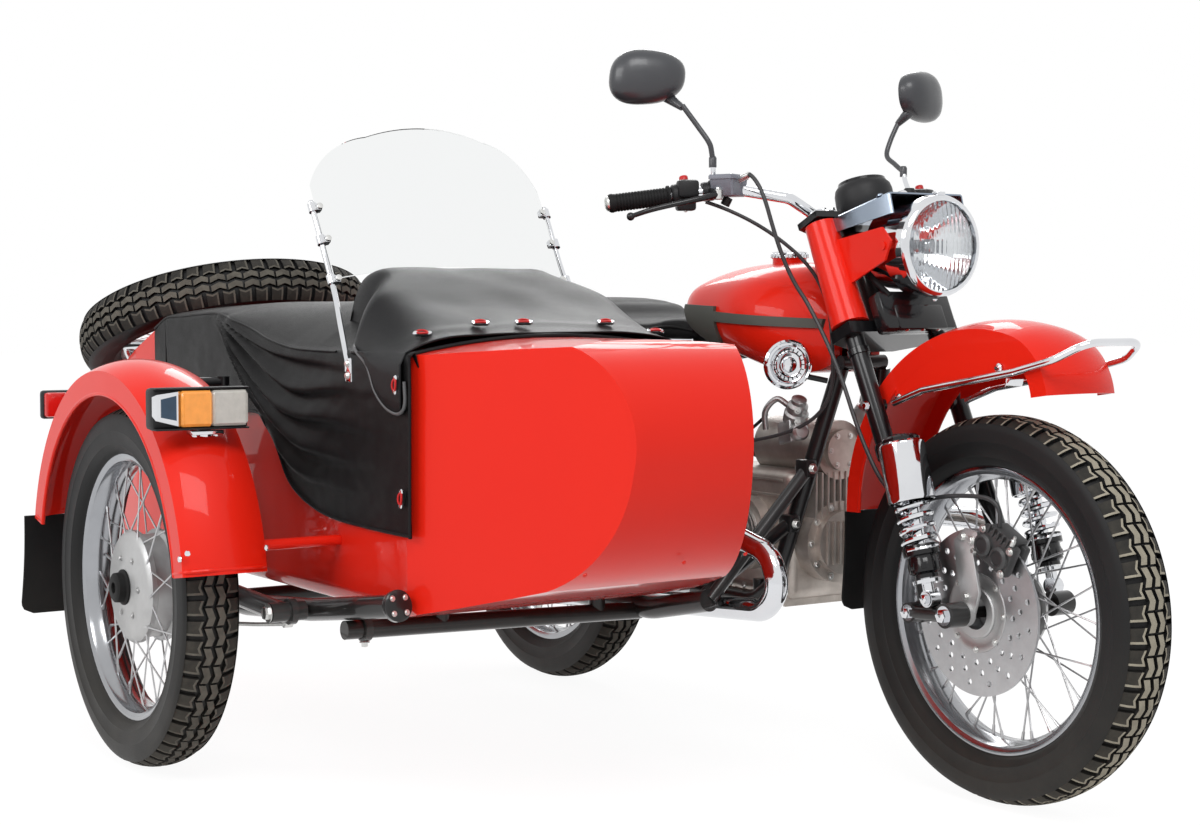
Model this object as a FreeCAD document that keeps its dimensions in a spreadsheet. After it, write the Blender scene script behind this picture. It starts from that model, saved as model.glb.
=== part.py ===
import FreeCAD, Part
import math
import os
import Sketcher
from FreeCAD import Placement, Rotation, Vector

# A flat-twin motorcycle with a sidecar on its right.  Millimetres, +X forward, +Y left, +Z up.
# Every piece is drawn from the point on the ground under the rear axle, in the bike's middle
# plane.  At the end all pieces are moved together so that the origin is under the middle of the
# whole vehicle.

doc = FreeCAD.newDocument("SidecarMotorcycle")
sheet = doc.addObject("Spreadsheet::Sheet", "Sizes")

SIZES = (
    # alias, millimetres or degrees, what it is
    ("wheelbase", 1500, "rear axle to front axle"),
    ("wheel_radius", 345, "ground to axle, to the top of the tread"),
    ("tyre_width", 112, "over the sidewalls"),
    ("rim_radius", 254.5, "over the rim flanges"),
    ("rim_width", 72, "over the rim flanges"),
    ("bead_radius", 246, "where the tyre sits on the rim"),
    ("rim_wall", 3, "sheet thickness of the rim"),
    ("fit_gap", 0.3, "between a tyre and its rim, a pin and its bore"),
    ("hub_radius", 108, "brake drum hub of rear and side wheel"),
    ("front_hub_radius", 72, "front hub"),
    ("hub_width", 84, "between the hub's end faces"),
    ("axle_radius", 10, "all axles"),
    ("spoke_radius", 2.1, "wire spokes"),
    ("disc_radius", 147.5, "front brake disc"),
    ("disc_bore", 62, "radius of the disc's open middle"),
    ("disc_thickness", 5, "front brake disc"),
    ("side_axle_x", 369, "side wheel axle ahead of the rear axle"),
    ("track", 1165, "bike plane to side wheel plane"),
    ("rake", 25, "steering axis from upright, degrees"),
    ("head_x", 1156, "steering axis at the lower yoke"),
    ("head_z", 827, "lower yoke height"),
    ("fork_offset", 40, "fork legs ahead of the steering axis"),
    ("leg_spacing", 208, "between the fork legs' centres"),
    ("leg_radius", 18, "fork leg tube"),
    ("stem_length", 212, "lower yoke to upper yoke along the axis"),
    ("frame_tube", 16, "radius of the main frame tubes"),
    ("side_tube", 21, "radius of the sidecar frame tubes"),
    ("bar_radius", 11.1, "handlebar tube"),
    ("grip_radius", 17, "handlebar grips"),
    ("bar_half_width", 432, "bike plane to the grip's end"),
    ("bar_height", 1074, "grip height"),
    ("lamp_radius", 94, "headlamp over its rim"),
    ("lamp_x", 1292, "headlamp centre ahead of the rear axle"),
    ("lamp_z", 991, "headlamp centre height"),
    ("crank_x", 880, "cylinder axis ahead of the rear axle"),
    ("crank_z", 430, "cylinder axis height"),
    ("case_half_width", 120, "crankcase to the barrel's foot"),
    ("barrel_radius", 62, "over the barrel fins"),
    ("barrel_length", 118, "barrel foot to head"),
    ("head_length", 74, "cylinder head with its cover"),
    ("pipe_radius", 21.5, "exhaust pipe"),
    ("muffler_radius", 43, "silencer"),
    ("stand_x", 400, "centre stand's pivot"),
    ("stand_z", 262, "centre stand's pivot"),
    ("stand_length", 236, "centre stand from pivot to foot"),
    ("tank_top", 968, "fuel tank's highest point"),
    ("tank_half_width", 152, "fuel tank's widest place"),
    ("seat_width", 270, "saddle"),
    ("seat_thickness", 85, "saddle"),
    ("body_plane", 630, "bike plane to the sidecar's middle plane"),
    ("body_half_width", 295, "sidecar body"),
    ("body_floor", 332, "underside of the sidecar body"),
    ("belt", 795, "side edge of the sidecar's deck"),
    ("crown", 30, "rise of the deck from its side edge to its middle"),
    ("nose_edge_x", 985, "rear edge of the nose, where its sides turn in"),
    ("nose_x", 1424, "front of the nose"),
    ("nose_half_width", 120, "front of the nose"),
    ("body_wall", 14, "body panels with their frames"),
    ("lid_slope", 20, "boot lid, degrees"),
    ("lid_hinge_x", -125, "boot lid hinge from the rear axle"),
    ("lid_hinge_z", 861, "boot lid hinge height"),
    ("lid_length", 622, "boot lid down its slope"),
    ("lid_half_width", 232, "boot lid"),
    ("lid_thickness", 16, "boot lid"),
    ("cockpit_front_x", 730, "front edge of the cockpit opening"),
    ("cockpit_rear_x", 10, "rear edge of the cockpit opening"),
    ("cockpit_half_width", 250, "cockpit opening"),
    ("spare_x", -475, "spare wheel's centre"),
    ("spare_z", 826, "spare wheel's centre"),
    ("screen_rake", 30, "windscreen from upright, degrees"),
    ("screen_foot_x", 700, "windscreen posts at their foot"),
    ("screen_foot_z", 770, "windscreen posts' foot"),
    ("screen_half_width", 262, "post to middle"),
    ("screen_top", 436, "pane's top above the posts' foot"),
    ("screen_bulge", 50, "middle of the pane ahead of its edges"),
    ("screen_thickness", 4, "pane"),
    ("fender_wall", 4, "sheet metal fenders with their rolled edge"),
    ("side_fender_inner", 1083, "inner edge of the side wheel's fender"),
    ("side_fender_outer", 1243, "outer edge of the side wheel's fender"),
    ("front_fender_half", 82, "front fender"),
    ("rear_fender_half", 82, "rear fender"),
    ("rear_fender_radius", 398, "rear fender about the rear axle"),
    ("plate_width", 180, "number plate bracket"),
    ("plate_height", 110, "number plate bracket"),
    ("plate_hole", 3.5, "radius of the plate's bolt holes"),
    ("plate_hole_x", 140, "between the plate's holes, across"),
    ("plate_hole_z", 70, "between the plate's holes, upright"),
)


class Size:
    """A sheet value, or a sum made of some, kept as a number and as a sheet expression."""

    def __init__(self, text, number):
        self.text = text
        self.number = number

    def _join(self, sign, other, number):
        text = other.text if isinstance(other, Size) else "(%r)" % float(other)
        return Size("(%s %s %s)" % (self.text, sign, text), number)

    def __add__(self, other):
        return self._join("+", other, self.number + float(other))

    def __sub__(self, other):
        return self._join("-", other, self.number - float(other))

    def __mul__(self, other):
        return self._join("*", other, self.number * float(other))

    def __truediv__(self, other):
        return self._join("/", other, self.number / float(other))

    def __neg__(self):
        return Size("(0 - %s)" % self.text, -self.number)

    def __radd__(self, other):
        return self + other

    def __rsub__(self, other):
        return -self + other

    def __rmul__(self, other):
        return self * other

    def __float__(self):
        return float(self.number)


class Sizes:
    """The sheet's values by name, such as size.wheelbase."""


size = Sizes()
for row, (alias, number, meaning) in enumerate(SIZES, start=1):
    sheet.set("A%d" % row, meaning)
    sheet.set("B%d" % row, str(number))
    sheet.setAlias("B%d" % row, alias)
    setattr(size, alias, Size("Sizes." + alias, float(number)))
doc.recompute()

X, Y, Z = Vector(1, 0, 0), Vector(0, 1, 0), Vector(0, 0, 1)
nodes = []


def at(x, y, z):
    """A point from numbers or sheet values."""
    return Vector(float(x), float(y), float(z))


def bind(obj, prop, value):
    """Set a property, by an expression on the sheet where the value comes from it."""
    if isinstance(value, Size):
        obj.setExpression(prop, value.text)
    else:
        setattr(obj, prop, float(value))


def place(obj, base, axis=Z, turn=0):
    """Put an object's own Z along axis at a base point, after a turn about it."""
    obj.Placement = Placement(base, Rotation(Z, axis).multiply(Rotation(Z, turn)))
    return obj


def cylinder(name, radius, length, base, axis=Z):
    obj = doc.addObject("Part::Cylinder", name)
    bind(obj, "Radius", radius)
    bind(obj, "Height", length)
    return place(obj, base, axis)


def block(name, length, width, height, corner):
    obj = doc.addObject("Part::Box", name)
    bind(obj, "Length", length)
    bind(obj, "Width", width)
    bind(obj, "Height", height)
    return place(obj, corner)


def turned(name, profile, base, axis):
    """A body turned about its own Z from an outline of (radius, height) points."""
    body = doc.addObject("PartDesign::Body", name)
    plane = [p for p in body.Origin.OriginFeatures if p.Role == "XZ_Plane"][0]
    sketch = body.newObject("Sketcher::SketchObject", name + "_outline")
    sketch.AttachmentSupport = [(plane, "")]
    sketch.MapMode = "FlatFace"
    points = [Vector(float(r), float(z), 0) for r, z in profile]
    count = len(points)
    for i, point in enumerate(points):
        sketch.addGeometry(Part.LineSegment(point, points[(i + 1) % count]), False)
    for i in range(count):
        sketch.addConstraint(Sketcher.Constraint("Coincident", i, 2, (i + 1) % count, 1))
    for i, (r, z) in enumerate(profile):
        for kind, value in (("DistanceX", r), ("DistanceY", z)):
            index = sketch.addConstraint(Sketcher.Constraint(kind, -1, 1, i, 1, float(value)))
            if isinstance(value, Size):
                sketch.setExpression("Constraints[%d]" % index, value.text)
    turn = body.newObject("PartDesign::Revolution", name + "_turn")
    turn.Profile = sketch
    turn.ReferenceAxis = (sketch, ["V_Axis"])
    turn.Angle = 360
    return place(body, base, axis)


def shaped(name, shape):
    """A piece whose form needs sweeps or lofts."""
    obj = doc.addObject("Part::Feature", name)
    obj.Shape = shape
    return obj


def node(label, *objects):
    """Name a sub-part; several objects are fused, or stay apart where they don't touch."""
    if len(objects) == 1:
        whole = objects[0]
    else:
        whole = doc.addObject("Part::MultiFuse", "All_" + label)
        whole.Shapes = list(objects)
    whole.Label = label
    nodes.append(whole)
    return whole


# ---------------------------------------------------------------- shapes used by many pieces

def bar(start, end, radius):
    """A straight round bar from point to point."""
    way = end - start
    return Part.makeCylinder(float(radius), way.Length, start, way)


def path(points, bend):
    """Straight runs joined by tangent arcs of the bend radius, or as large as the runs allow."""
    edges = []
    here = points[0]
    for before, corner, after in zip(points, points[1:], points[2:]):
        back = (before - corner)
        ahead = (after - corner)
        half_turn = (math.pi - back.getAngle(ahead)) / 2
        room = 0.45 * min(back.Length, ahead.Length)
        reach = min(bend * math.tan(half_turn), room)
        back.normalize()
        ahead.normalize()
        first = corner + back * reach
        last = corner + ahead * reach
        radius = reach / math.tan(half_turn)
        middle_way = (back + ahead).normalize()
        centre = corner + middle_way * (radius / math.cos(half_turn))
        middle = centre - middle_way * radius
        edges.append(Part.LineSegment(here, first).toShape())
        edges.append(Part.Arc(first, middle, last).toShape())
        here = last
    edges.append(Part.LineSegment(here, points[-1]).toShape())
    return Part.Wire(edges)


def tube(points, radius, bend=60.0):
    """A bent round tube through the points."""
    points = [at(*p) for p in points]
    if len(points) == 2:
        return bar(points[0], points[1], radius)
    spine = path(points, float(bend))
    ring = Part.Wire([Part.Circle(points[0], points[1] - points[0], float(radius)).toShape()])
    return spine.makePipeShell([ring], True, True)


def mirrored(shape, plane=0.0):
    """The same shape on the other side of an upright plane along X."""
    return shape.mirror(Vector(0, plane, 0), Y)


def pair(shape):
    return [shape, mirrored(shape)]


def fused(shapes):
    """One shape of all, with its split faces joined again where they can be."""
    if len(shapes) == 1:
        return shapes[0]
    whole = shapes[0].multiFuse(shapes[1:])
    joined = whole.removeSplitter()
    return joined if joined.isValid() else whole


def outline(points):
    """A closed face of straight edges through the points."""
    return Part.Face(Part.makePolygon(points + [points[0]]))


def plate(points, way):
    """A flat plate: an outline pushed along a vector."""
    return outline([at(*p) for p in points]).extrude(way)


def turned_shape(profile, base, axis):
    """A ring or dish turned about an axis, from (radius, height) points."""
    solid = outline([Vector(float(r), 0, float(z)) for r, z in profile]).revolve(Vector(), Z, 360)
    solid.Placement = Placement(base, Rotation(Z, axis))
    return solid


def arch(centre, radius, half, drop, rise, start, end, wall):
    """A fender: a crowned section with side skirts, turned about the Y line through centre."""
    radius, half, wall = float(radius), float(half), float(wall)
    edge, shoulder = radius - drop, radius - rise

    def line(a, b):
        return Part.LineSegment(Vector(a[0], a[1], 0), Vector(b[0], b[1], 0)).toShape()

    def crown(foot, top, side):
        return Part.Arc(Vector(foot, -side, 0), Vector(top, 0, 0), Vector(foot, side, 0)).toShape()

    inside = half - wall
    section = Part.Wire([
        line((edge, -half), (shoulder, -half)), crown(shoulder, radius, half),
        line((shoulder, half), (edge, half)), line((edge, half), (edge, inside)),
        line((edge, inside), (shoulder - wall, inside)),
        crown(shoulder - wall, radius - wall, inside),
        line((shoulder - wall, -inside), (edge, -inside)), line((edge, -inside), (edge, -half)),
    ])
    face = Part.Face(section)
    face.rotate(Vector(), -Y, start)
    band = face.revolve(Vector(), -Y, end - start)
    band.translate(centre)
    return band


# ---------------------------------------------------------------- wheels

def rim_profile():
    """The drop-centre rim's section, from one side to the other."""
    side, well = size.rim_width / 2, size.bead_radius - 12
    seat = size.bead_radius - size.fit_gap
    flange = side - size.rim_wall
    outer = [(size.rim_radius, -side), (size.rim_radius, -flange), (seat, 2 - flange), (seat, -18),
             (well, -12), (well, 12), (seat, 18), (seat, flange - 2), (size.rim_radius, flange),
             (size.rim_radius, side)]
    inner = [(size.bead_radius - 5, side), (well - size.rim_wall, 15),
             (well - size.rim_wall, -15), (size.bead_radius - 5, -side)]
    return outer + inner


def tyre_profile():
    """The tyre's section, by (share of its height, share of its half width)."""
    half_section = ((0.0, 0.50), (0.10, 0.52), (0.18, 0.78), (0.34, 0.96), (0.54, 1.0),
                    (0.74, 0.95), (0.88, 0.83), (0.95, 0.62), (1.0, 0.30))
    height = size.wheel_radius - size.bead_radius
    half = size.tyre_width / 2
    right = [(size.bead_radius + height * up, -(half * out)) for up, out in half_section]
    left = [(size.bead_radius + height * up, half * out) for up, out in reversed(half_section)]
    return right + left


def hub_profile(kind):
    """Hub sections as (radius, height) from the right end face to the left one."""
    half = size.hub_width / 2
    bore = size.axle_radius + size.fit_gap
    if kind == "drum":
        flange = size.hub_radius
        return [(bore, -half), (38, -half), (44, 6 - half), (flange - 8, 10 - half),
                (flange, 16 - half), (flange, 26 - half), (flange - 8, 30 - half),
                (flange - 8, half - 20), (flange, half - 16), (flange, half - 6),
                (44, half - 2), (36, half), (bore, half)]
    flange = size.front_hub_radius
    return [(bore, -half), (30, -half), (30, 12 - half), (flange, 12 - half), (flange, 18 - half),
            (flange - 20, 22 - half), (flange - 20, half - 22), (flange, half - 18),
            (flange, half - 12), (30, half - 12), (30, half), (bore, half)]


def spokes(centre, hub_radius, hub_side, count, lean):
    """Crossed wire spokes between the hub's two flanges and the rim."""
    rim_reach = float(size.bead_radius) - 13
    hub_reach = float(hub_radius) - 2
    wires = []
    for i in range(count):
        side = 1 if i % 2 else -1
        cross = 1 if (i // 2) % 2 else -1
        turn = 2 * math.pi * i / count
        foot = turn + cross * math.radians(lean)
        inner = Vector(hub_reach * math.cos(foot), side * (hub_side + 2.6 * cross),
                       hub_reach * math.sin(foot))
        outer = Vector(rim_reach * math.cos(turn), side * 7, rim_reach * math.sin(turn))
        wires.append(bar(centre + inner, centre + outer, size.spoke_radius))
    return wires


def wheel(prefix, centre, kind):
    """Tyre and wire-spoked rim with its hub, about a Y axis."""
    tyre = turned(prefix + "_tyre_body", tyre_profile(), centre, Y)
    node(prefix + "_tyre", tyre)
    rim = turned(prefix + "_rim_ring", rim_profile(), centre, Y)
    hub = turned(prefix + "_hub", hub_profile(kind), centre, Y)
    if kind == "drum":
        wires = spokes(centre, size.hub_radius, float(size.hub_width) / 2 - 12, 36, 22)
    else:
        wires = spokes(centre, size.front_hub_radius, float(size.hub_width) / 2 - 15, 36, 40)
    node(prefix + "_rim", rim, hub, shaped(prefix + "_spokes", Part.makeCompound(wires)))


rear_axle = at(0, 0, size.wheel_radius)
front_axle = at(size.wheelbase, 0, size.wheel_radius)
side_axle = at(size.side_axle_x, -size.track, size.wheel_radius)
wheel("rear", rear_axle, "drum")
wheel("front", front_axle, "disc")
wheel("sidecar", side_axle, "drum")


def brake_disc():
    """A slotted disc on its carrier, to the right of the front hub."""
    face = float(size.disc_thickness)
    y = -72.5
    disc = turned_shape([(size.disc_bore, 0), (size.disc_radius, 0), (size.disc_radius, face),
                         (size.disc_bore, face)], at(size.wheelbase, y, size.wheel_radius), Y)
    holes = []
    for i in range(16):
        turn = 2 * math.pi * i / 16
        for reach, shift in ((88, 0.0), (106, 0.13), (126, 0.26)):
            angle = turn + shift
            spot = front_axle + Vector(reach * math.cos(angle), y - 1, reach * math.sin(angle))
            holes.append(bar(spot, spot + Vector(0, face + 2, 0), 5.5))
    flange_face = float(size.hub_width) / 2 - 12
    reach = -y - face - flange_face - float(size.fit_gap)
    carrier = turned_shape([(31, 0), (size.disc_bore + 6, 0), (size.disc_bore + 6, 6), (50, 10),
                            (50, reach), (31, reach)],
                           at(size.wheelbase, y + face, size.wheel_radius), Y)
    return fused([disc.cut(Part.makeCompound(holes)), carrier])


# The carrier ends on the front hub's flange
node("brake_disc", shaped("brake_disc_shape", brake_disc()))

# ---------------------------------------------------------------- steering head and fork

rake = math.radians(float(size.rake))
axis_up = Vector(-math.sin(rake), 0, math.cos(rake))
axis_ahead = Vector(math.cos(rake), 0, math.sin(rake))
head = at(size.head_x, 0, size.head_z)
half_spacing = float(size.leg_spacing) / 2


def on_axis(along, ahead=0.0, side=0.0):
    """A point by its place along the steering axis, ahead of it and to the left."""
    return head + axis_up * along + axis_ahead * ahead + Vector(0, side, 0)


def yoke(along, thickness, margin):
    """A fork yoke: a plate round both legs and the stem."""
    offset = float(size.fork_offset)
    ring = [(-margin, -45), (-margin, 45), (offset - 30, half_spacing + margin),
            (offset + margin, half_spacing + margin), (offset + margin, -half_spacing - margin),
            (offset - 30, -half_spacing - margin)]
    return plate([tuple(on_axis(along, a, y)) for a, y in ring], axis_up * thickness)


leg_top = float(size.stem_length) + 6
leg_foot = -500.0
link_pivot = on_axis(-548, 20, half_spacing)
shock_top = at(1384, 150, 642)
shock_foot = at(1466, 150, 371.3)


bar_top = float(size.bar_height) + 30


def bar_line():
    """The handlebar's line from the left grip's end to the right one's."""
    end = float(size.bar_half_width)
    right = [(1050, -60, 1046), (1030, -120, bar_top - 18), (975, -215, bar_top),
             (948, -262, bar_top - 6), (868, -end, float(size.bar_height))]
    return [(x, -y, z) for x, y, z in reversed(right)] + right


handlebar = tube(bar_line(), size.bar_radius, 45)
bar_space = tube(bar_line(), float(size.bar_radius) + float(size.fit_gap), 45)


def fork():
    parts = [yoke(-24, 22, 28), yoke(float(size.stem_length), 12, 30)]
    parts.append(bar(on_axis(-24), on_axis(leg_top), 13))
    offset = float(size.fork_offset)
    for leg in pair(bar(on_axis(leg_foot, offset, half_spacing),
                        on_axis(leg_top, offset, half_spacing), size.leg_radius)):
        parts.append(leg)
    foot = bar(on_axis(leg_foot + 20, offset, half_spacing), link_pivot, 15)
    eye = bar(link_pivot - Y * 16, link_pivot + Y * 16, 20)
    arm_root = on_axis(-245, offset, half_spacing)
    arm = bar(arm_root, shock_top, 11)
    ear = bar(shock_top - Y * 12, shock_top + Y * 12, 14)
    clip_root = on_axis(-160, offset, half_spacing)
    clip = bar(Vector(clip_root.x, float(size.front_fender_half) + 0.3, clip_root.z), clip_root, 12)
    for one in (foot, eye, arm, ear, clip):
        parts += pair(one)
    risers = bar(on_axis(float(size.stem_length) + 8, -22, 42), at(1050, 42, 1046), 15)
    parts += pair(risers)
    return fused(parts).cut(bar_space)


node("fork", shaped("fork_shape", fork()))


def fork_shrouds():
    """Sheet covers round the upper legs, with the ears that hold the headlamp."""
    offset = float(size.fork_offset)
    parts = []
    low = on_axis(2, offset, half_spacing)
    length = float(size.stem_length) - 6
    shell = turned_shape([(19, 0), (36, 0), (34, 60), (31, length), (27, length),
                          (30, 60), (32, 4), (19, 4)], low, axis_up)
    ear = plate([(1150, 98, 905), (1285, 98, 965), (1300, 98, 1000), (1275, 98, 1025),
                 (1120, 98, 1000)], Y * 5)
    hollow = bar(low, low + axis_up * length, 30)
    bolt_x, bolt_z = float(size.lamp_x) - 12, float(size.lamp_z)
    bolt = bar(at(bolt_x, size.lamp_radius - 4.6, bolt_z), at(bolt_x, 106, bolt_z), 8)
    for one in (shell, ear.cut(hollow), bolt):
        parts += pair(one)
    return fused(parts)


node("fork_shrouds", shaped("fork_shrouds_shape", fork_shrouds()))

lamp = at(size.lamp_x, 0, size.lamp_z)
node("headlamp", turned("headlamp_bowl", [
    (0, -118), (52, -112), (80, -88), (size.lamp_radius - 5, -30), (size.lamp_radius - 5, 8),
    (size.lamp_radius, 10), (size.lamp_radius, 26), (size.lamp_radius - 4, 34),
    (size.lamp_radius - 10, 36), (size.lamp_radius - 10, 14), (76, -26), (76, -84), (48, -106),
    (0, -112)], lamp, X))
node("headlamp_lens", turned("headlamp_glass", [
    (0, 40), (45, 38), (size.lamp_radius - 10.5, 30), (size.lamp_radius - 10.5, 26),
    (45, 34), (0, 36)], lamp, X))

node("handlebar", shaped("handlebar_shape", handlebar))

grip_end = at(*bar_line()[-1])
grip_way = (at(*bar_line()[-2]) - grip_end).normalize()


def sleeve(start, end, bore, radius):
    return bar(start, end, radius).cut(bar(start - grip_way * 5, end + grip_way * 5, bore))


def grips():
    bore = float(size.bar_radius) + 0.3
    rubber = sleeve(grip_end + grip_way * 4, grip_end + grip_way * 122, bore, size.grip_radius)
    return Part.makeCompound(pair(rubber))


def hand_controls():
    """Switch clusters, levers, perches and the brake's fluid box."""
    bore = float(size.bar_radius) + 0.3
    cluster = sleeve(grip_end + grip_way * 124, grip_end + grip_way * 172, bore, 21)
    perch = grip_end + grip_way * 148 + X * 34
    arm = bar(grip_end + grip_way * 148 + X * 12, perch, 9)
    tip = grip_end + X * 62 + grip_way * 14
    lever = tube([tuple(perch), tuple(perch + X * 22 - grip_way * 30), tuple(tip)], 5.5, 30)
    ball = Part.makeSphere(8, tip)
    one = fused([cluster, arm, lever, ball])
    both = pair(one)
    corner = Vector(972, -242, bar_top + 13)
    box = Part.makeBox(46, 64, 26, corner)
    stalk = bar(grip_end + grip_way * 160 + Vector(16, 0, 4), corner + Vector(24, 10, 8), 6)
    both[0] = fused([both[0], box, stalk])
    return Part.makeCompound([each.cut(bar_space) for each in both])


node("grips", shaped("grips_shape", grips()))
node("hand_controls", shaped("hand_controls_shape", hand_controls()))

mirror_foot = at(958, -247, bar_top + 2)
mirror_knee = at(930, -262, bar_top + 90)
mirror_head = at(880, -345, 1312)


def mirrors():
    stem = tube([tuple(mirror_foot), tuple(mirror_knee), tuple(mirror_head + Vector(6, 0, -30))],
                5, 60)
    clamp = bar(mirror_foot - Z * 4, mirror_foot + Z * 16, 11)
    facing = Vector(0.94, -0.34, 0.05)
    shell = turned_shape([(0, -4), (46, -4), (53, 0), (50, 12), (36, 26), (0, 32)],
                         Vector(), Z)
    oval = FreeCAD.Matrix()
    oval.scale(1.0, 1.36, 1.0)
    shell = shell.transformGeometry(oval)
    shell.Placement = Placement(mirror_head, Rotation(Z, facing))
    return Part.makeCompound(pair(fused([stem, clamp, shell]).cut(bar_space)))


node("mirrors", shaped("mirrors_shape", mirrors()))

gauge_foot = on_axis(float(size.stem_length) + 14, 62)
node("instrument", turned("instrument_pod", [
    (0, 0), (30, 0), (46, 18), (46, 52), (40, 62), (0, 66)], gauge_foot,
    Vector(-0.25, 0, 0.97)))

fender_hub = at(size.wheelbase, 0, 500)
front_fender_radius = 358.0
brow_radius = 137.0
brow_turn = 77.0


def front_fender():
    """A wide arch above the wheel that turns down over a tighter brow at its front."""
    back = arch(fender_hub, front_fender_radius, size.front_fender_half, 52, 16, brow_turn, 181,
                size.fender_wall)
    shift = front_fender_radius - brow_radius
    brow_hub = fender_hub + Vector(shift * math.cos(math.radians(brow_turn)), 0,
                                   shift * math.sin(math.radians(brow_turn)))
    brow = arch(brow_hub, brow_radius, size.front_fender_half, 52, 16, 8, brow_turn,
                size.fender_wall)
    return fused([back, brow])


node("front_fender", shaped("front_fender_shape", front_fender()))


def fender_rail():
    """A chrome tube along the fender's lower edges and round its front."""
    y = float(size.front_fender_half) + 8
    side = [(1298, y, 705), (1375, y, 731), (1600, y, 770), (1690, y - 2, 792), (1744, y - 26, 822)]
    rail = tube(side + [(x, -w, z) for x, w, z in reversed(side)], 6.5, 60)
    feet = []
    for x, z in ((1306, 716), (1560, 778)):
        feet += pair(bar(at(x, y - 7.7, z), at(x, y, z - 4), 5))
    return fused([rail] + feet)


node("fender_rail", shaped("fender_rail_shape", fender_rail()))
flap_x = float(size.wheelbase) - front_fender_radius + 5
flap_top = fender_hub.z - 6.8
node("front_flap", shaped("front_flap_shape", plate(
    [(flap_x, -72, flap_top), (flap_x, 72, flap_top), (flap_x - 9, 66, flap_top - 193),
     (flap_x - 9, -66, flap_top - 193)], Vector(-4, 0, 0))))


def front_links():
    """Leading links from the fork feet to the axle, with the axle itself."""
    parts = [bar(front_axle - Y * 140, front_axle + Y * 140, size.axle_radius)]
    axle_end = front_axle + Y * (half_spacing + 4)
    near = link_pivot + Y * 19
    parts += pair(bar(near, near + Y * 26, 18))
    parts += pair(bar(near + Y * 16, front_axle + Y * (half_spacing + 35), 13))
    parts += pair(bar(axle_end, axle_end + Y * 42, 22))
    return fused(parts)


node("front_links", shaped("front_links_shape", front_links()))


def strut(top, foot, cover_length, cover_radius, coil_radius, rod_radius, head_room=14.4):
    """A spring strut's cover, its spring's outer form and its lower rod with the seat."""
    way = (foot - top).normalize()
    whole = (foot - top).Length
    start, end = cover_length + 2, whole - 34
    body = turned_shape([(0, head_room), (cover_radius - 6, head_room),
                         (cover_radius, head_room + 8), (cover_radius, cover_length),
                         (rod_radius, cover_length), (rod_radius, end + 1), (coil_radius, end + 1),
                         (coil_radius, end + 7), (rod_radius, end + 7), (rod_radius, whole),
                         (0, whole)], top, way)
    eye = bar(foot - Y * 11, foot + Y * 11, 15)
    turns, ribs = 7, []
    pitch = (end - start) / turns
    bore = rod_radius + 2
    for i in range(turns):
        low = start + i * pitch
        ribs += [(coil_radius - 6, low), (coil_radius, low + pitch * 0.3),
                 (coil_radius, low + pitch * 0.6), (coil_radius - 6, low + pitch * 0.9)]
    spring = turned_shape([(bore, start)] + ribs + [(bore, end)], top, way)
    return fused([body, eye]), spring


front_strut, front_coil = strut(shock_top, shock_foot, 104, 26, 27, 11)
node("front_shocks", shaped("front_shocks_shape", Part.makeCompound(pair(front_strut))))
node("front_springs", shaped("front_springs_shape", Part.makeCompound(pair(front_coil))))


def caliper():
    """Two-part caliper over the disc, on a bracket from the right link."""
    angle = math.radians(62)
    reach = 128
    spot = front_axle + Vector(reach * math.cos(angle), 0, reach * math.sin(angle))
    body = Part.makeBox(84, 46, 62, Vector(-42, -94, -28))
    slot = Part.makeBox(90, 11, 66, Vector(-45, -75.5, -40))
    body = body.cut(slot)
    body.rotate(Vector(), Y, 28)
    body.translate(spot)
    collar_face = -half_spacing - 3.7
    collar = bar(front_axle + Y * collar_face, front_axle + Y * (collar_face + 12), 21)
    arm_y = collar_face + 10.5
    bracket = bar(Vector(front_axle.x + 6, arm_y, front_axle.z + 11),
                  Vector(spot.x + 4, arm_y, spot.z + 2), 8.5)
    whole = fused([body, bracket, collar])
    return whole.cut(bar(front_axle - Y * 140, front_axle - Y * 80, 10.3))


node("caliper", shaped("caliper_shape", caliper()))

# ---------------------------------------------------------------- bike frame and engine

rail_y = 122
cradle_z = 304
backbone_front, backbone_rear = at(1105, 0, 866), at(630, 0, 780)
seat_rail_z = 792
tunnel_radius = 27.0


frame_line = [(1103, 52, 763), (990, 118, 345), (930, rail_y, cradle_z),
              (330, rail_y, cradle_z), (215, rail_y, 370), (110, rail_y, 570), (70, rail_y, 780)]


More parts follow.
